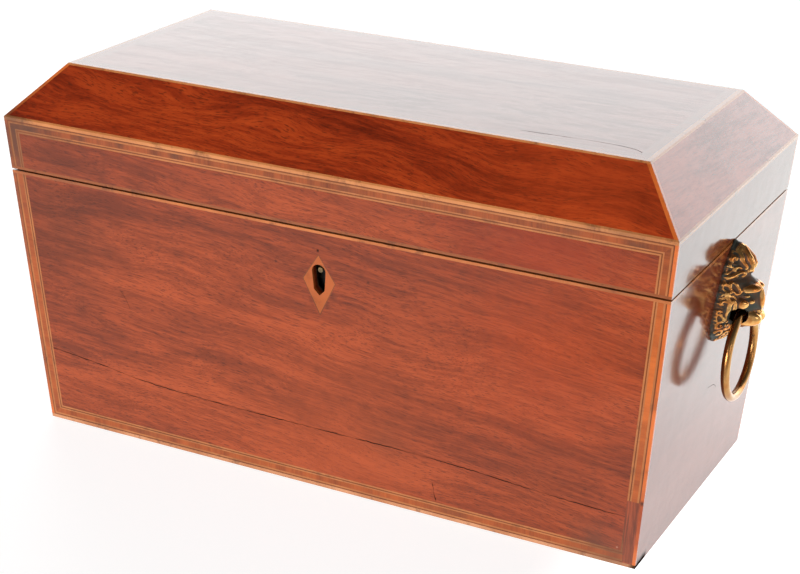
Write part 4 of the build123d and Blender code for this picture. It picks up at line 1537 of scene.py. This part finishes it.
    def wall(self, up: np.ndarray) -> np.ndarray:
        """Place of the end wall's outer face at a height."""
        return self.wall_at_arris - WALL_SLOPE * (self.arris_up - up)

    @property
    def shares(self) -> np.ndarray:
        """Where the grid's columns lie, as shares of the half width: closer towards the outline."""
        even = np.linspace(-1, 1, self.columns)
        return 0.35 * np.sin(even * np.pi / 2) + 0.65 * even

    def surfaces(self) -> tuple[np.ndarray, np.ndarray, np.ndarray]:
        """Points and faces of the closed casting, and how hollow each place of its front is.

        The front is the grid; its rim is joined to a copy of the rim on the wall, and that to
        one point in the middle of the back, so the casting is closed.

        Returns:
            All points in metres, the faces, and the hollowness over the grid.
        """
        along = np.linspace(0, 1, self.rows)
        up = self.foot + (self.head - self.foot) * (0.5 - 0.5 * np.cos(np.pi * along))
        share = self.shares
        z = np.repeat(up[:, None], self.columns, axis=1)
        y = self.outline(z) * share[None, :]
        edge = np.abs(np.broadcast_to(share[None, :], z.shape))
        height, rubbed = self.face(y, z, edge)
        height = smooth_rows(height * np.clip(self.outline(z) / 1.2, 0, 1) ** 0.5, 1)
        small = height - smooth_rows(height, 5)
        large = height - smooth_rows(height, 16)
        relief = 0.55 * small + 0.12 * large
        hollow = np.clip(0.84 - 0.68 * rubbed - relief, 0, 1)
        front = np.stack([self.wall(z) + height, y, z], axis=-1)
        rim = np.concatenate(
            [
                np.arange(self.columns),
                np.arange(1, self.rows) * self.columns + self.columns - 1,
                (self.rows - 1) * self.columns + np.arange(self.columns - 2, -1, -1),
                np.arange(self.rows - 2, 0, -1) * self.columns,
            ]
        )
        flat = front.reshape(-1, 3)
        back = flat[rim].copy()
        back[:, 0] = self.wall(back[:, 2]) + 0.02
        middle = back.mean(axis=0, keepdims=True)
        points = np.concatenate([flat, back, middle]) * MM
        first = len(flat)
        count = len(rim)
        ring = np.arange(count)
        following = (ring + 1) % count
        walls = np.stack([rim[ring], first + ring, first + following, rim[following]], axis=-1)
        last = np.full(count, first + count)
        fan = np.stack([first + ring, last, last, first + following], axis=-1)
        grid = grid_faces(self.rows, self.columns)
        return points, np.concatenate([grid, walls, fan]), hollow

    def cutter(self) -> bpy.types.Object:
        """A round bar across the head, where the ring's top passes.

        Returns:
            The bar, which is only cut away with.
        """
        turns = np.linspace(0, 2 * np.pi, 49)[:-1]
        reach = np.array([0.0, self.passage, self.passage, 0.0])
        place = np.array([-1, -1, 1, 1]) * self.passage_half
        x = self.ring_axis[0] + reach[:, None] * np.cos(turns)[None, :]
        z = self.ring_axis[1] + reach[:, None] * np.sin(turns)[None, :]
        y = np.repeat(place[:, None], turns.size, axis=1)
        points = np.stack([x, y, z], axis=-1).reshape(-1, 3) * MM
        faces = grid_faces(4, turns.size, wrap_columns=True)
        made = mesh_object("ring_passage_cutter", points, faces)
        tidy_mesh(made)
        return made

    def build(self, left: bool) -> bpy.types.Object:
        """Model one mask.

        Args:
            left: Whether it goes on the left end, as the mirror image.

        Returns:
            The finished casting.
        """
        name = "left_lion_head" if left else "right_lion_head"
        points, faces, hollow = self.surfaces()
        made = mesh_object(name, points, faces)
        tidy_mesh(made)
        bar = self.cutter()
        hole = made.modifiers.new("passage", "BOOLEAN")
        hole.operation = "DIFFERENCE"
        hole.solver = "EXACT"
        hole.object = bar
        settle(made)
        bpy.data.objects.remove(bar)
        self.mark_hollows(made, hollow)
        if left:
            mirror_points(made)
        return made

    def mark_hollows(self, made: bpy.types.Object, hollow: np.ndarray) -> None:
        """Store how hollow each vertex's place is, looked up in the grid.

        Args:
            made: The casting, before it is mirrored.
            hollow: The grid of hollowness.
        """
        co = read_points(made) / MM
        up = np.clip((co[:, 2] - self.foot) / (self.head - self.foot), 0, 1)
        row = np.arccos(1 - 2 * up) / np.pi * (self.rows - 1)
        share = np.clip(co[:, 1] / np.maximum(self.outline(co[:, 2]), 0.01), -1, 1)
        column = np.interp(share, self.shares, np.arange(self.columns))
        values = hollow[np.rint(row).astype(int), np.rint(column).astype(int)]
        from_axis = np.hypot(co[:, 0] - self.ring_axis[0], co[:, 2] - self.ring_axis[1])
        values = np.where(from_axis < self.passage + 0.05, 0.95, values)
        low = co[:, 0] - self.wall(co[:, 2]) < 0.5
        values = np.where(low, 1.0, values)
        stored = made.data.attributes.new("hollow", "FLOAT", "POINT")
        stored.data.foreach_set("value", values.astype(np.float32))


def read_points(made: bpy.types.Object) -> np.ndarray:
    """Read a mesh's vertices.

    Args:
        made: The object whose mesh is read.

    Returns:
        One row of three numbers for each vertex.
    """
    co = np.empty(len(made.data.vertices) * 3, dtype=np.float32)
    made.data.vertices.foreach_get("co", co)
    return co.reshape(-1, 3).astype(np.float64)


def tidy_mesh(made: bpy.types.Object) -> None:
    """Merge a mesh's doubled points, drop faces with no area, and point its normals outwards.

    Args:
        made: The object whose mesh is tidied.
    """
    work = bmesh.new()
    work.from_mesh(made.data)
    bmesh.ops.remove_doubles(work, verts=work.verts, dist=1e-7)
    bmesh.ops.dissolve_degenerate(work, edges=work.edges, dist=1e-8)
    bmesh.ops.recalc_face_normals(work, faces=work.faces)
    work.to_mesh(made.data)
    work.free()


def settle(made: bpy.types.Object) -> None:
    """Apply a piece's modifiers by taking its evaluated mesh.

    Args:
        made: The piece.
    """
    graph = bpy.context.evaluated_depsgraph_get()
    finished = bpy.data.meshes.new_from_object(made.evaluated_get(graph))
    made.modifiers.clear()
    old = made.data
    made.data = finished
    bpy.data.meshes.remove(old)


def mirror_points(made: bpy.types.Object) -> None:
    """Mirror a mesh from the right end to the left, and turn its faces back outwards.

    Args:
        made: The object whose mesh is mirrored.
    """
    co = read_points(made)
    co[:, 0] *= -1
    made.data.vertices.foreach_set("co", co.astype(np.float32).ravel())
    made.data.flip_normals()
    made.data.update()


@dataclass
class RingHandle:
    """A ring of drawn wire: a torus hanging in the plane of the end wall, a little uneven."""

    axis_x: float = 157.5
    axis_z: float = 91.5
    radius: float = 18.8
    wire: float = 1.86
    around: int = 192
    section: int = 36

    def build(self, left: bool) -> bpy.types.Object:
        """Model one ring.

        The wire's middle runs round a circle below the axis; its radius swells and thins by
        under two hundredths with the angle, and is thinnest at the top where it has worn.

        Args:
            left: Whether it hangs on the left end.

        Returns:
            The finished ring.
        """
        turn = np.linspace(0, 2 * np.pi, self.around, endpoint=False)[:, None]
        round_wire = np.linspace(0, 2 * np.pi, self.section, endpoint=False)[None, :]
        worn = np.exp(-(((np.cos(turn) - 1) / 0.05) ** 2))
        uneven = 0.010 * np.sin(3 * turn + 0.6) + 0.006 * np.sin(7 * turn)
        wire = self.wire * (1 + uneven - 0.03 * worn)
        reach = self.radius + wire * np.cos(round_wire)
        x = self.axis_x + wire * np.sin(round_wire) + 0 * turn
        y = reach * np.sin(turn)
        z = self.axis_z - self.radius + reach * np.cos(turn)
        points = np.stack([x, y, z], axis=-1).reshape(-1, 3) * MM
        faces = grid_faces(self.around, self.section, wrap_rows=True, wrap_columns=True)
        made = mesh_object("left_ring_handle" if left else "right_ring_handle", points, faces)
        tidy_mesh(made)
        if left:
            mirror_points(made)
        return made


# ---------------------------------------------------------------- studio


@dataclass(frozen=True)
class SoftBox:
    """One area light: where it hangs, what it faces, its width and height, and its power."""

    name: str
    place: tuple[float, float, float]
    aim: tuple[float, float, float]
    size: tuple[float, float]
    power: float


@dataclass
class Studio:
    """Camera, pale light table and soft light: a key on the front, and a glint for the brass."""

    camera_place: tuple[float, float, float] = (0.35336, -0.71157, 0.38599)
    ahead: tuple[float, float, float] = (-0.41217, 0.83266, -0.36986)
    upwards: tuple[float, float, float] = (-0.18783, 0.31957, 0.92876)
    lens: float = 86.55
    sensor: float = 36.0
    table_half: float = 4.0
    table_level: float = -0.0003
    table_glow: float = 0.78
    side_glow: float = 0.95
    horizon: float = 0.60
    overhead: float = 0.10
    backlight: float = 4.0
    key: SoftBox = SoftBox("key", (-0.35, -1.7, 0.22), (0.0, 0.0, 0.08), (1.6, 0.5), 58.0)
    glint: SoftBox = SoftBox("glint", (1.55, -0.75, 0.48), (0.16, 0.0, 0.09), (0.3, 0.3), 2.0)

    def set_camera(self) -> None:
        """Place the camera."""
        data = bpy.data.cameras.new("camera")
        data.sensor_width = self.sensor
        data.lens = self.lens
        data.dof.use_dof = False
        made = bpy.data.objects.new("camera", data)
        ahead, up = Vector(self.ahead).normalized(), Vector(self.upwards).normalized()
        right = ahead.cross(up).normalized()
        up = right.cross(ahead)
        turn = Matrix((right, up, -ahead)).transposed().to_4x4()
        made.matrix_world = Matrix.Translation(self.camera_place) @ turn
        bpy.context.scene.collection.objects.link(made)
        bpy.context.scene.camera = made

    def set_world(self) -> None:
        """Surround the object with soft light: dim overhead, pale at the horizon, bright behind.

        The light behind eases in with y and out overhead. It is weaker on its left and at its
        far right, and a little stronger above the horizon.
        """
        world = bpy.data.worlds.new("studio")
        world.use_nodes = True
        world.node_tree.nodes.clear()
        g = Graph(world.node_tree)
        x, y, z = g.split(g.node("TexCoord").outputs["Generated"])
        base = g.step(z, 0.15, 0.80, self.horizon, self.overhead)
        behind = g.math("MULTIPLY", g.step(y, 0.45, 0.75), g.step(z, 0.72, 0.50))
        behind = g.math("MULTIPLY", behind, g.step(x, -0.25, 0.25, 0.60, 1.0))
        behind = g.math("MULTIPLY", behind, g.step(z, 0.25, 0.30, 1.0, 1.07))
        behind = g.math("MULTIPLY", behind, g.step(x, 0.25, 0.40, 1.0, 0.83))
        strength = g.math("MULTIPLY_ADD", behind, self.backlight, base)
        light = g.node("Background", {"Color": (1.0, 1.0, 1.0, 1.0), "Strength": strength})
        g.node("OutputWorld", {0: light.outputs[0]})
        bpy.context.scene.world = world

    def set_table(self) -> None:
        """Lay the object on a pale table that glows a little.

        Beside the object's right end the glow is stronger, and it grows and cools with distance
        from it. In front of its right half the table glows half as much.
        """
        half, level = self.table_half, self.table_level
        corners = ((-half, -half), (half, -half), (half, half), (-half, half))
        points = np.array([(x, y, level) for x, y in corners])
        floor = mesh_object("light_table", points, np.array([[0, 1, 2, 3]]), smooth=False)
        made, g, shader = start_material("light table")
        x, y, _ = g.split(g.node("TexCoord").outputs["Object"])
        beside = g.math("MULTIPLY", g.step(x, 0.10, 0.16), g.step(y, -0.14, -0.05))
        further = g.step(g.math("MULTIPLY_ADD", y, 0.5, x), 0.17, 0.27)
        beside = g.math("MULTIPLY", beside, g.math("MULTIPLY_ADD", further, 0.54, 0.735))
        tint = g.blend(further, (1.0, 1.0, 1.0), (0.905, 1.0, 1.0))
        glow = g.math("MULTIPLY_ADD", beside, self.side_glow, self.table_glow)
        nearby = g.math("MULTIPLY", g.step(x, -0.04, 0.12), g.step(y, -0.16, -0.22))
        glow = g.math("MULTIPLY", glow, g.step(nearby, 0.0, 1.0, 1.0, 0.5))
        set_inputs(
            g,
            shader,
            Base_Color=(0.35, 0.35, 0.35),
            Roughness=0.6,
            Specular_IOR_Level=0.2,
            Emission_Color=tint,
            Emission_Strength=glow,
        )
        floor.data.materials.append(made)

    def set_soft_box(self, box: SoftBox) -> None:
        """Hang one soft box and turn it to face its aim.

        Args:
            box: The soft box.
        """
        data = bpy.data.lights.new(box.name, "AREA")
        data.shape = "RECTANGLE"
        data.size, data.size_y = box.size
        data.energy = box.power
        made = bpy.data.objects.new(box.name, data)
        place = Vector(box.place)
        turn = (Vector(box.aim) - place).to_track_quat("-Z", "Y").to_matrix().to_4x4()
        made.matrix_world = Matrix.Translation(place) @ turn
        bpy.context.scene.collection.objects.link(made)

    def build(self) -> None:
        """Set up everything that isn't the object."""
        bpy.context.scene.view_settings.view_transform = "Standard"
        self.set_camera()
        self.set_world()
        self.set_table()
        self.set_soft_box(self.key)
        self.set_soft_box(self.glint)


# ---------------------------------------------------------------- the caddy's finishes

# Mahogany, from its dark streaks to its light ones.
DEEP: Colour = (0.080, 0.0120, 0.0032)
RED: Colour = (0.155, 0.0235, 0.0050)
WARM: Colour = (0.226, 0.0370, 0.0080)

# Cracks and scratches. The first runs along the front low down, the second across the top.
BODY_CRACK = Crack(
    course=(
        (-0.1445, 0.0370), (-0.1126, 0.0338), (-0.0863, 0.0305), (-0.0604, 0.0292),
        (-0.0301, 0.0287), (0.0041, 0.0284), (0.0373, 0.0282), (0.0693, 0.0270),
        (0.0916, 0.0254), (0.1134, 0.0242), (0.1368, 0.0233),
    ),
    width=0.00028,
    wander=0.0011,
)
TOP_CRACK = Crack(
    course=(
        (0.0743, -0.0460), (0.0908, -0.0451), (0.1070, -0.0443), (0.1197, -0.0454),
        (0.1277, -0.0507), (0.1320, -0.0560),
    ),
    width=0.00030,
)
DENT = Crack(
    course=((0.0520, 0.0160), (0.0526, 0.0140), (0.0529, 0.0112), (0.0539, 0.0085)),
    width=0.0010,
)
SCRATCH = Crack(
    course=((-0.0985, 0.0732), (-0.0970, 0.0712), (-0.0955, 0.0688), (-0.0940, 0.0652)),
    width=0.0005,
)
HAIRLINE = Crack(
    course=((-0.0020, 0.0547), (0.0030, 0.0538), (0.0075, 0.0524), (0.0110, 0.0500)),
    width=0.00016,
)

# Colours for the patches below: dust, a dull brown, orange and black.
DUST: Colour = (0.035, 0.016, 0.008)
DULL: Colour = (0.070, 0.020, 0.010)
ORANGE: Colour = (0.420, 0.100, 0.016)
BLACK: Colour = (0.006, 0.003, 0.002)

# Patches by the part that they are on. Broad ones darken the upper left, warm the front low in
# the middle, deepen the red on the right of the front and lid, and lighten it on the bevel;
# small ones mark spots, pin holes and a black wedge at the right-hand foot.
FRONT_MARKS = (
    TonePatch((-0.1250, -0.0742, 0.1000), 0.0450, 0.42),
    TonePatch((0.1000, -0.0746, 0.0900), 0.0600, 0.40, (0.210, 0.0220, 0.0020)),
    TonePatch((0.0100, -0.0690, 0.0250), 0.0550, 0.45, WARM),
    TonePatch((0.1050, -0.0690, 0.0250), 0.0260, 0.15),
    TonePatch((-0.0191, -0.0744, 0.1029), 0.0010, 0.80),
    TonePatch((0.0236, -0.0744, 0.1018), 0.0010, 0.75),
    # Painted shade: a black dot with no polish for the pin hole above the keyhole, whose inside is
    # dark.
    TonePatch((0.0008, -0.0751, 0.1115), 0.0009, 1.0, BLACK, bare=True),
    TonePatch((0.0070, -0.0737, 0.0925), 0.0030, 0.60),
    TonePatch((0.0045, -0.0733, 0.0875), 0.0020, 0.55),
    TonePatch((-0.0030, -0.0734, 0.0885), 0.0016, 0.40),
    TonePatch((0.1340, -0.0675, 0.0084), 0.0006, 0.45, (0.50, 0.30, 0.20)),
    TonePatch((0.1250, -0.0672, 0.0060), 0.0160, 0.65, DUST),
    TonePatch((0.0300, -0.0690, 0.0300), 0.0140, 0.20, DUST),
)
LID_MARKS = (
    TonePatch((-0.1300, -0.0766, 0.1320), 0.0400, 0.38),
    TonePatch((0.1250, -0.0766, 0.1320), 0.0300, 0.15),
    # Painted light: the deeper red towards the right of the lid front stands in for the weaker
    # reflection on that part of its polish.
    TonePatch((0.1000, -0.0766, 0.1320), 0.0600, 0.60, (0.155, 0.0125, 0.0008)),
)
# A black wedge with no polish at the foot of the right end, by the front corner, laid in six steps.
BLACK_WEDGE = tuple(
    TonePatch(
        (0.1419, -0.0668 + 0.0020 * step, 0.0008 + 0.0002 * step),
        0.0046 - 0.0003 * step,
        1.0,
        BLACK,
        bare=True,
    )
    for step in range(6)
)
CORNER_MARKS = (
    TonePatch((-0.1510, -0.0766, 0.1330), 0.0400, 0.95, DULL),
    TonePatch((-0.1490, -0.0735, 0.0950), 0.0500, 0.75, DULL),
    TonePatch((-0.1450, -0.0700, 0.0350), 0.0450, 0.60, DULL),
    TonePatch((0.1430, -0.0686, 0.0240), 0.0180, 0.90, (0.150, 0.024, 0.006)),
    TonePatch((0.1425, -0.0680, 0.0130), 0.0140, 0.50, (0.190, 0.030, 0.008)),
    TonePatch((0.1436, -0.0692, 0.0312), 0.0016, 0.90, BLACK),
)
STRING_MARKS = (
    TonePatch((0.1300, -0.0672, 0.0050), 0.0220, 0.55, DUST),
    TonePatch((-0.1430, -0.0766, 0.1330), 0.0300, 0.60, DUST),
    TonePatch((0.1330, -0.0680, 0.0180), 0.0160, 0.90, (0.060, 0.014, 0.005)),
)
BAND_MARKS = (
    TonePatch((0.1300, -0.0672, 0.0050), 0.0240, 0.45, (0.060, 0.016, 0.006)),
    TonePatch((0.1440, -0.0732, 0.0850), 0.0380, 0.55, ORANGE),
    TonePatch((-0.1440, -0.0750, 0.1120), 0.0200, 0.35, DULL),
    TonePatch((0.0600, -0.0671, 0.0030), 0.0160, 0.40, DUST),
    TonePatch((-0.0900, -0.0671, 0.0030), 0.0160, 0.35, DUST),
)
BEVEL_MARKS = (TonePatch((0.1150, -0.0640, 0.1540), 0.0700, 0.28, (0.330, 0.044, 0.0085)),)
RIM_MARKS = (
    TonePatch((-0.1200, -0.0750, 0.1200), 0.0500, 0.60, DULL),
    TonePatch((0.1300, -0.0750, 0.1200), 0.0300, 0.35, DULL),
)
LID_EDGE_MARKS = (
    TonePatch((-0.1490, -0.0775, 0.1440), 0.0160, 0.70, DUST),
    TonePatch((0.1300, -0.0775, 0.1440), 0.0240, 0.35, DUST),
)
LID_BAND_MARKS = (
    TonePatch((-0.1420, -0.0768, 0.1400), 0.0150, 0.90, DUST),
    TonePatch((-0.1460, -0.0768, 0.1320), 0.0260, 0.85, (0.060, 0.018, 0.008)),
    TonePatch((-0.1130, -0.0768, 0.1420), 0.0046, 0.60, DUST),
    TonePatch((-0.0930, -0.0768, 0.1420), 0.0036, 0.60, DUST),
    TonePatch((-0.0660, -0.0768, 0.1420), 0.0055, 0.65, DUST),
    TonePatch((0.0150, -0.0768, 0.1420), 0.0070, 0.45, DUST),
    TonePatch((0.1100, -0.0768, 0.1420), 0.0060, 0.55, DUST),
    TonePatch((0.1360, -0.0768, 0.1390), 0.0060, 0.60, DUST),
)


@dataclass
class Finishes:
    """Every finish of the caddy, by a short name."""

    effects: Effects
    made: dict[str, bpy.types.Material] = field(default_factory=dict)

    def recipes(self) -> dict[str, Any]:
        """Describe the finishes.

        Returns:
            What each finish is made of, by its short name.
        """
        repaired: Colour = (0.095, 0.0180, 0.0060)
        russet = (DEEP, RED, WARM)
        quiet = ((0.122, 0.0235, 0.0085), (0.148, 0.0290, 0.0105), (0.174, 0.0360, 0.0132))
        # Painted shade: a darker copy of the quiet end mahogany for the lid's end and back veneers,
        # though their wood is the same.
        shaded = ((0.098, 0.0190, 0.0070), (0.118, 0.0235, 0.0088), (0.138, 0.0290, 0.0110))
        cherry = ((0.068, 0.0056, 0.0010), (0.156, 0.0155, 0.0028), (0.256, 0.0322, 0.0054))
        return {
            "front": Veneer(
                "front veneer", *russet, cracks=(BODY_CRACK, SCRATCH, DENT), tone_patches=FRONT_MARKS
            ),
            "lid_front": Veneer(
                "lid front veneer", *russet, shift=(1.7, 0.0, 0.4), tone_patches=LID_MARKS
            ),
            "ends": Veneer(
                "end veneers",
                *quiet,
                run=GrainRun.BY_FACE,
                polish_streak=0.02,
                polish_roughness=0.12,
                shift=(3.1, 0.2, 1.1),
                tone_patches=BLACK_WEDGE,
                cracks=(HAIRLINE,),
                crack_axes=(1, 2),
            ),
            "lid_ends": Veneer(
                "lid end veneers",
                *shaded,
                run=GrainRun.BY_FACE,
                polish_streak=0.02,
                shift=(3.4, 0.5, 1.6),
            ),
            "bevel": Veneer(
                "bevel veneers",
                *cherry,
                run=GrainRun.BY_FACE,
                shift=(5.3, 0.6, 0.3),
                tone_patches=BEVEL_MARKS,
            ),
            "top": Veneer(
                "top veneer", *russet, shift=(8.3, 0.1, 0.9), cracks=(TOP_CRACK,), crack_axes=(0, 1)
            ),
            "front_board": Veneer(
                "front and back boards", *russet, polish=0.15, shift=(2.2, 1.0, 0.1)
            ),
            "end_board": Veneer(
                "end boards",
                *russet,
                run=GrainRun.ALONG_END,
                polish=0.15,
                shift=(0.4, 2.0, 0.7),
            ),
            "canister": Veneer(
                "canister veneer",
                *russet,
                run=GrainRun.ALONG_END,
                polish=0.6,
                shift=(4.4, 1.0, 2.0),
            ),
            "crossband": Crossband(
                "case crossbanding",
                BandPlace.CASE_FRONT,
                (0.085, 0.014, 0.003),
                (0.27, 0.058, 0.010),
                repaired,
                tone_patches=BAND_MARKS,
            ),
            "lid_crossband": Crossband(
                "lid crossbanding",
                BandPlace.LID,
                (0.045, 0.009, 0.003),
                (0.23, 0.048, 0.009),
                repaired,
                tone_patches=LID_BAND_MARKS,
            ),
            "light_string": Stringing(
                "light strings",
                (0.19, 0.058, 0.014),
                (0.27, 0.092, 0.026),
                patch=repaired,
                tone_patches=STRING_MARKS,
            ),
            "dark_string": Stringing(
                "dark strings", (0.075, 0.017, 0.004), (0.13, 0.032, 0.007), patch=repaired
            ),
            "corner": Stringing(
                "corner edging", (0.30, 0.062, 0.010), (0.38, 0.090, 0.018), tone_patches=CORNER_MARKS
            ),
            "rim": Stringing(
                "rim edging",
                (0.22, 0.060, 0.014),
                (0.32, 0.098, 0.026),
                dirt_share=0.5,
                tone_patches=RIM_MARKS,
            ),
            # Partly painted highlight: the lid edging's tones are paler than its wood, for the
            # light that its rounded arris and top edge catch. Below 0.122 to 0.128 m, on the foot
            # string, they ease to a darker tone.
            "edging": Stringing(
                "lid edging",
                (0.25, 0.084, 0.024),
                (0.36, 0.138, 0.046),
                low=(0.122, 0.128, (0.15, 0.040, 0.010)),
                dirt_share=0.5,
                tone_patches=LID_EDGE_MARKS,
            ),
            "base_edging": Stringing(
                "base edging",
                (0.24, 0.085, 0.030),
                (0.36, 0.165, 0.080),
                dirt_share=0.6,
                at_ends=quiet[1],
                tone_patches=BLACK_WEDGE + STRING_MARKS[:1],
            ),
            "escutcheon": Stringing(
                "escutcheon", (0.19, 0.040, 0.006), (0.25, 0.056, 0.010), dirt_share=0.25
            ),
            "lion": AgedBrass(
                "antique gilt brass",
                (0.66, 0.37, 0.130),
                (0.44, 0.145, 0.032),
                (0.026, 0.028, 0.020),
                roughness=0.18,
                cavity=True,
            ),
            "ring": AgedBrass(
                "ring brass", (0.35, 0.190, 0.068), (0.30, 0.128, 0.038), (0.060, 0.038, 0.018)
            ),
            # The lock's near-black dark tone is its patina, and also the painted shade in its
            # keyhole patch.
            "lock": AgedBrass(
                "lock brass",
                (0.60, 0.42, 0.17),
                (0.48, 0.30, 0.10),
                (0.006, 0.005, 0.004),
                keyhole_shade=KeyholeShade((0.0, -0.073, 0.090), 0.013),
            ),
            "brass": AgedBrass(
                "lock and hinge brass", (0.60, 0.42, 0.17), (0.50, 0.31, 0.105), (0.13, 0.08, 0.03)
            ),
            "steel": AgedBrass(
                "steel", (0.42, 0.40, 0.37), (0.36, 0.32, 0.28), (0.08, 0.06, 0.05), roughness=0.36
            ),
            "glass": ClearGlass("clear glass"),
            "baize": Cloth("green baize", (0.010, 0.035, 0.016), (0.022, 0.075, 0.034)),
            "velvet": Cloth("red velvet", (0.055, 0.004, 0.008), (0.13, 0.012, 0.020), sheen=0.8),
            "bone": Bone("turned bone"),
        }

    def build(self) -> None:
        """Make every material."""
        self.made = {name: recipe.build(self.effects) for name, recipe in self.recipes().items()}
        LOG.info("%d finishes made", len(self.made))

    def dress(self, piece: bpy.types.Object, name: str) -> None:
        """Give a piece one finish in all of its slots.

        Args:
            piece: The piece.
            name: The finish's short name.
        """
        if not piece.data.materials:
            piece.data.materials.append(self.made[name])
            return
        for number in range(len(piece.data.materials)):
            piece.data.materials[number] = self.made[name]


# ---------------------------------------------------------------- the caddy's sub-assemblies


class Side(Enum):
    """The caddy's two ends."""

    LEFT = "left"
    RIGHT = "right"


@dataclass
class Assembly:
    """A sub-assembly whose solids keep their shape: it knows which finish each node wears."""

    finishes: Finishes
    wears: ClassVar[dict[str, tuple[str, ...]]] = {}

    def dress(self) -> None:
        """Give every node of the sub-assembly its finish."""
        for finish, nodes in self.wears.items():
            for node in nodes:
                self.finishes.dress(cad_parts[node], finish)
        LOG.info("%s: %d nodes dressed", type(self).__name__, sum(map(len, self.wears.values())))


@dataclass
class CaseBox(Assembly):
    """The tapering case: boards, veneers, the inlaid front, the edgings and the baize below."""

    wears: ClassVar[dict[str, tuple[str, ...]]] = {
        "front": ("front_veneer",),
        "ends": ("left_veneer", "right_veneer", "back_veneer"),
        "front_board": ("front_board", "back_board", "base_board"),
        "end_board": ("left_board", "right_board", "left_partition", "right_partition"),
        "crossband": ("front_crossbanding",),
        "light_string": ("front_light_strings",),
        "dark_string": ("front_dark_strings",),
        "corner": ("corner_edging",),
        "rim": ("rim_edging",),
        "base_edging": ("base_edging",),
        "escutcheon": ("escutcheon",),
        "baize": ("base_baize",),
    }


@dataclass
class Lid(Assembly):
    """The sarcophagus lid: rails, bevels, top, inlay, edgings and the velvet inside."""

    wears: ClassVar[dict[str, tuple[str, ...]]] = {
        "lid_front": ("lid_front_veneer",),
        "lid_ends": ("lid_end_veneers", "lid_back_veneer"),
        "bevel": ("lid_bevel_veneers",),
        "top": ("lid_top_veneer",),
        "front_board": ("lid_front_rail", "lid_back_rail", "lid_top_board"),
        "end_board": ("lid_left_rail", "lid_right_rail", "lid_bevel_boards"),
        "lid_crossband": ("lid_crossbanding",),
        "light_string": ("lid_light_strings",),
        "dark_string": ("lid_dark_strings",),
        "corner": ("lid_corner_strings",),
        "edging": ("lid_edging",),
        "velvet": ("lid_lining",),
    }


@dataclass
class LockAndHinges(Assembly):
    """The lock with its bolt and link plate, the two hinges, and every screw."""

    wears: ClassVar[dict[str, tuple[str, ...]]] = {
        "lock": ("lock_case",),
        "brass": (
            "lock_bolt",
            "link_plate",
            "case_screws",
            "lid_screws",
            "hinge_case_leaves",
            "hinge_lid_leaves",
        ),
        "steel": ("hinge_pins", "mask_screws"),
    }


@dataclass
class TeaFittings(Assembly):
    """What lifts out: two lidded canisters with their knobs, and the glass mixing bowl."""

    wears: ClassVar[dict[str, tuple[str, ...]]] = {
        "canister": (
            "left_canister",
            "right_canister",
            "left_canister_lid",
            "right_canister_lid",
            "bowl_board",
        ),
        "brass": ("left_canister_pins", "right_canister_pins"),
        "bone": ("left_canister_knob", "right_canister_knob"),
        "glass": ("glass_bowl",),
    }


@dataclass
class EndHandle:
    """One end's carrying handle: the lion's head on the case, and the ring in its mouth."""

    side: Side
    finishes: Finishes
    mask: LionMask = field(default_factory=LionMask)
    ring: RingHandle = field(default_factory=RingHandle)

    def build(self) -> None:
        """Model the head and the ring, and put them in place of their plain solids."""
        left = self.side is Side.LEFT
        side = self.side.value
        self.place(self.mask.build(left), "lion", "case", f"{side}_lion_mask")
        self.place(self.ring.build(left), "ring", f"{side}_ring", f"{side}_ring")

    def place(self, piece: bpy.types.Object, finish: str, body: str, node: str) -> None:
        """Dress a modelled piece, let it ride on its body, and hide the node that it replaces.

        Args:
            piece: The piece.
            finish: The finish that it wears.
            body: The body that carries it.
            node: The node that it replaces.
        """
        self.finishes.dress(piece, finish)
        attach(piece, body)
        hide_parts(node)
        LOG.info("%s: %d faces", piece.name, len(piece.data.polygons))


@dataclass
class TeaCaddy:
    """The whole caddy."""

    finishes: Finishes

    def build(self) -> None:
        """Dress the four sub-assemblies of plain solids, then build both end handles."""
        for assembly in (CaseBox, Lid, LockAndHinges, TeaFittings):
            assembly(self.finishes).dress()
        for side in Side:
            EndHandle(side, self.finishes).build()


def main() -> None:
    """Build the studio and the caddy."""
    logging.basicConfig(level=logging.INFO, format="%(name)s: %(message)s")
    Studio().build()
    finishes = Finishes(Effects())
    finishes.build()
    TeaCaddy(finishes).build()


if __name__ == "__main__":
    main()
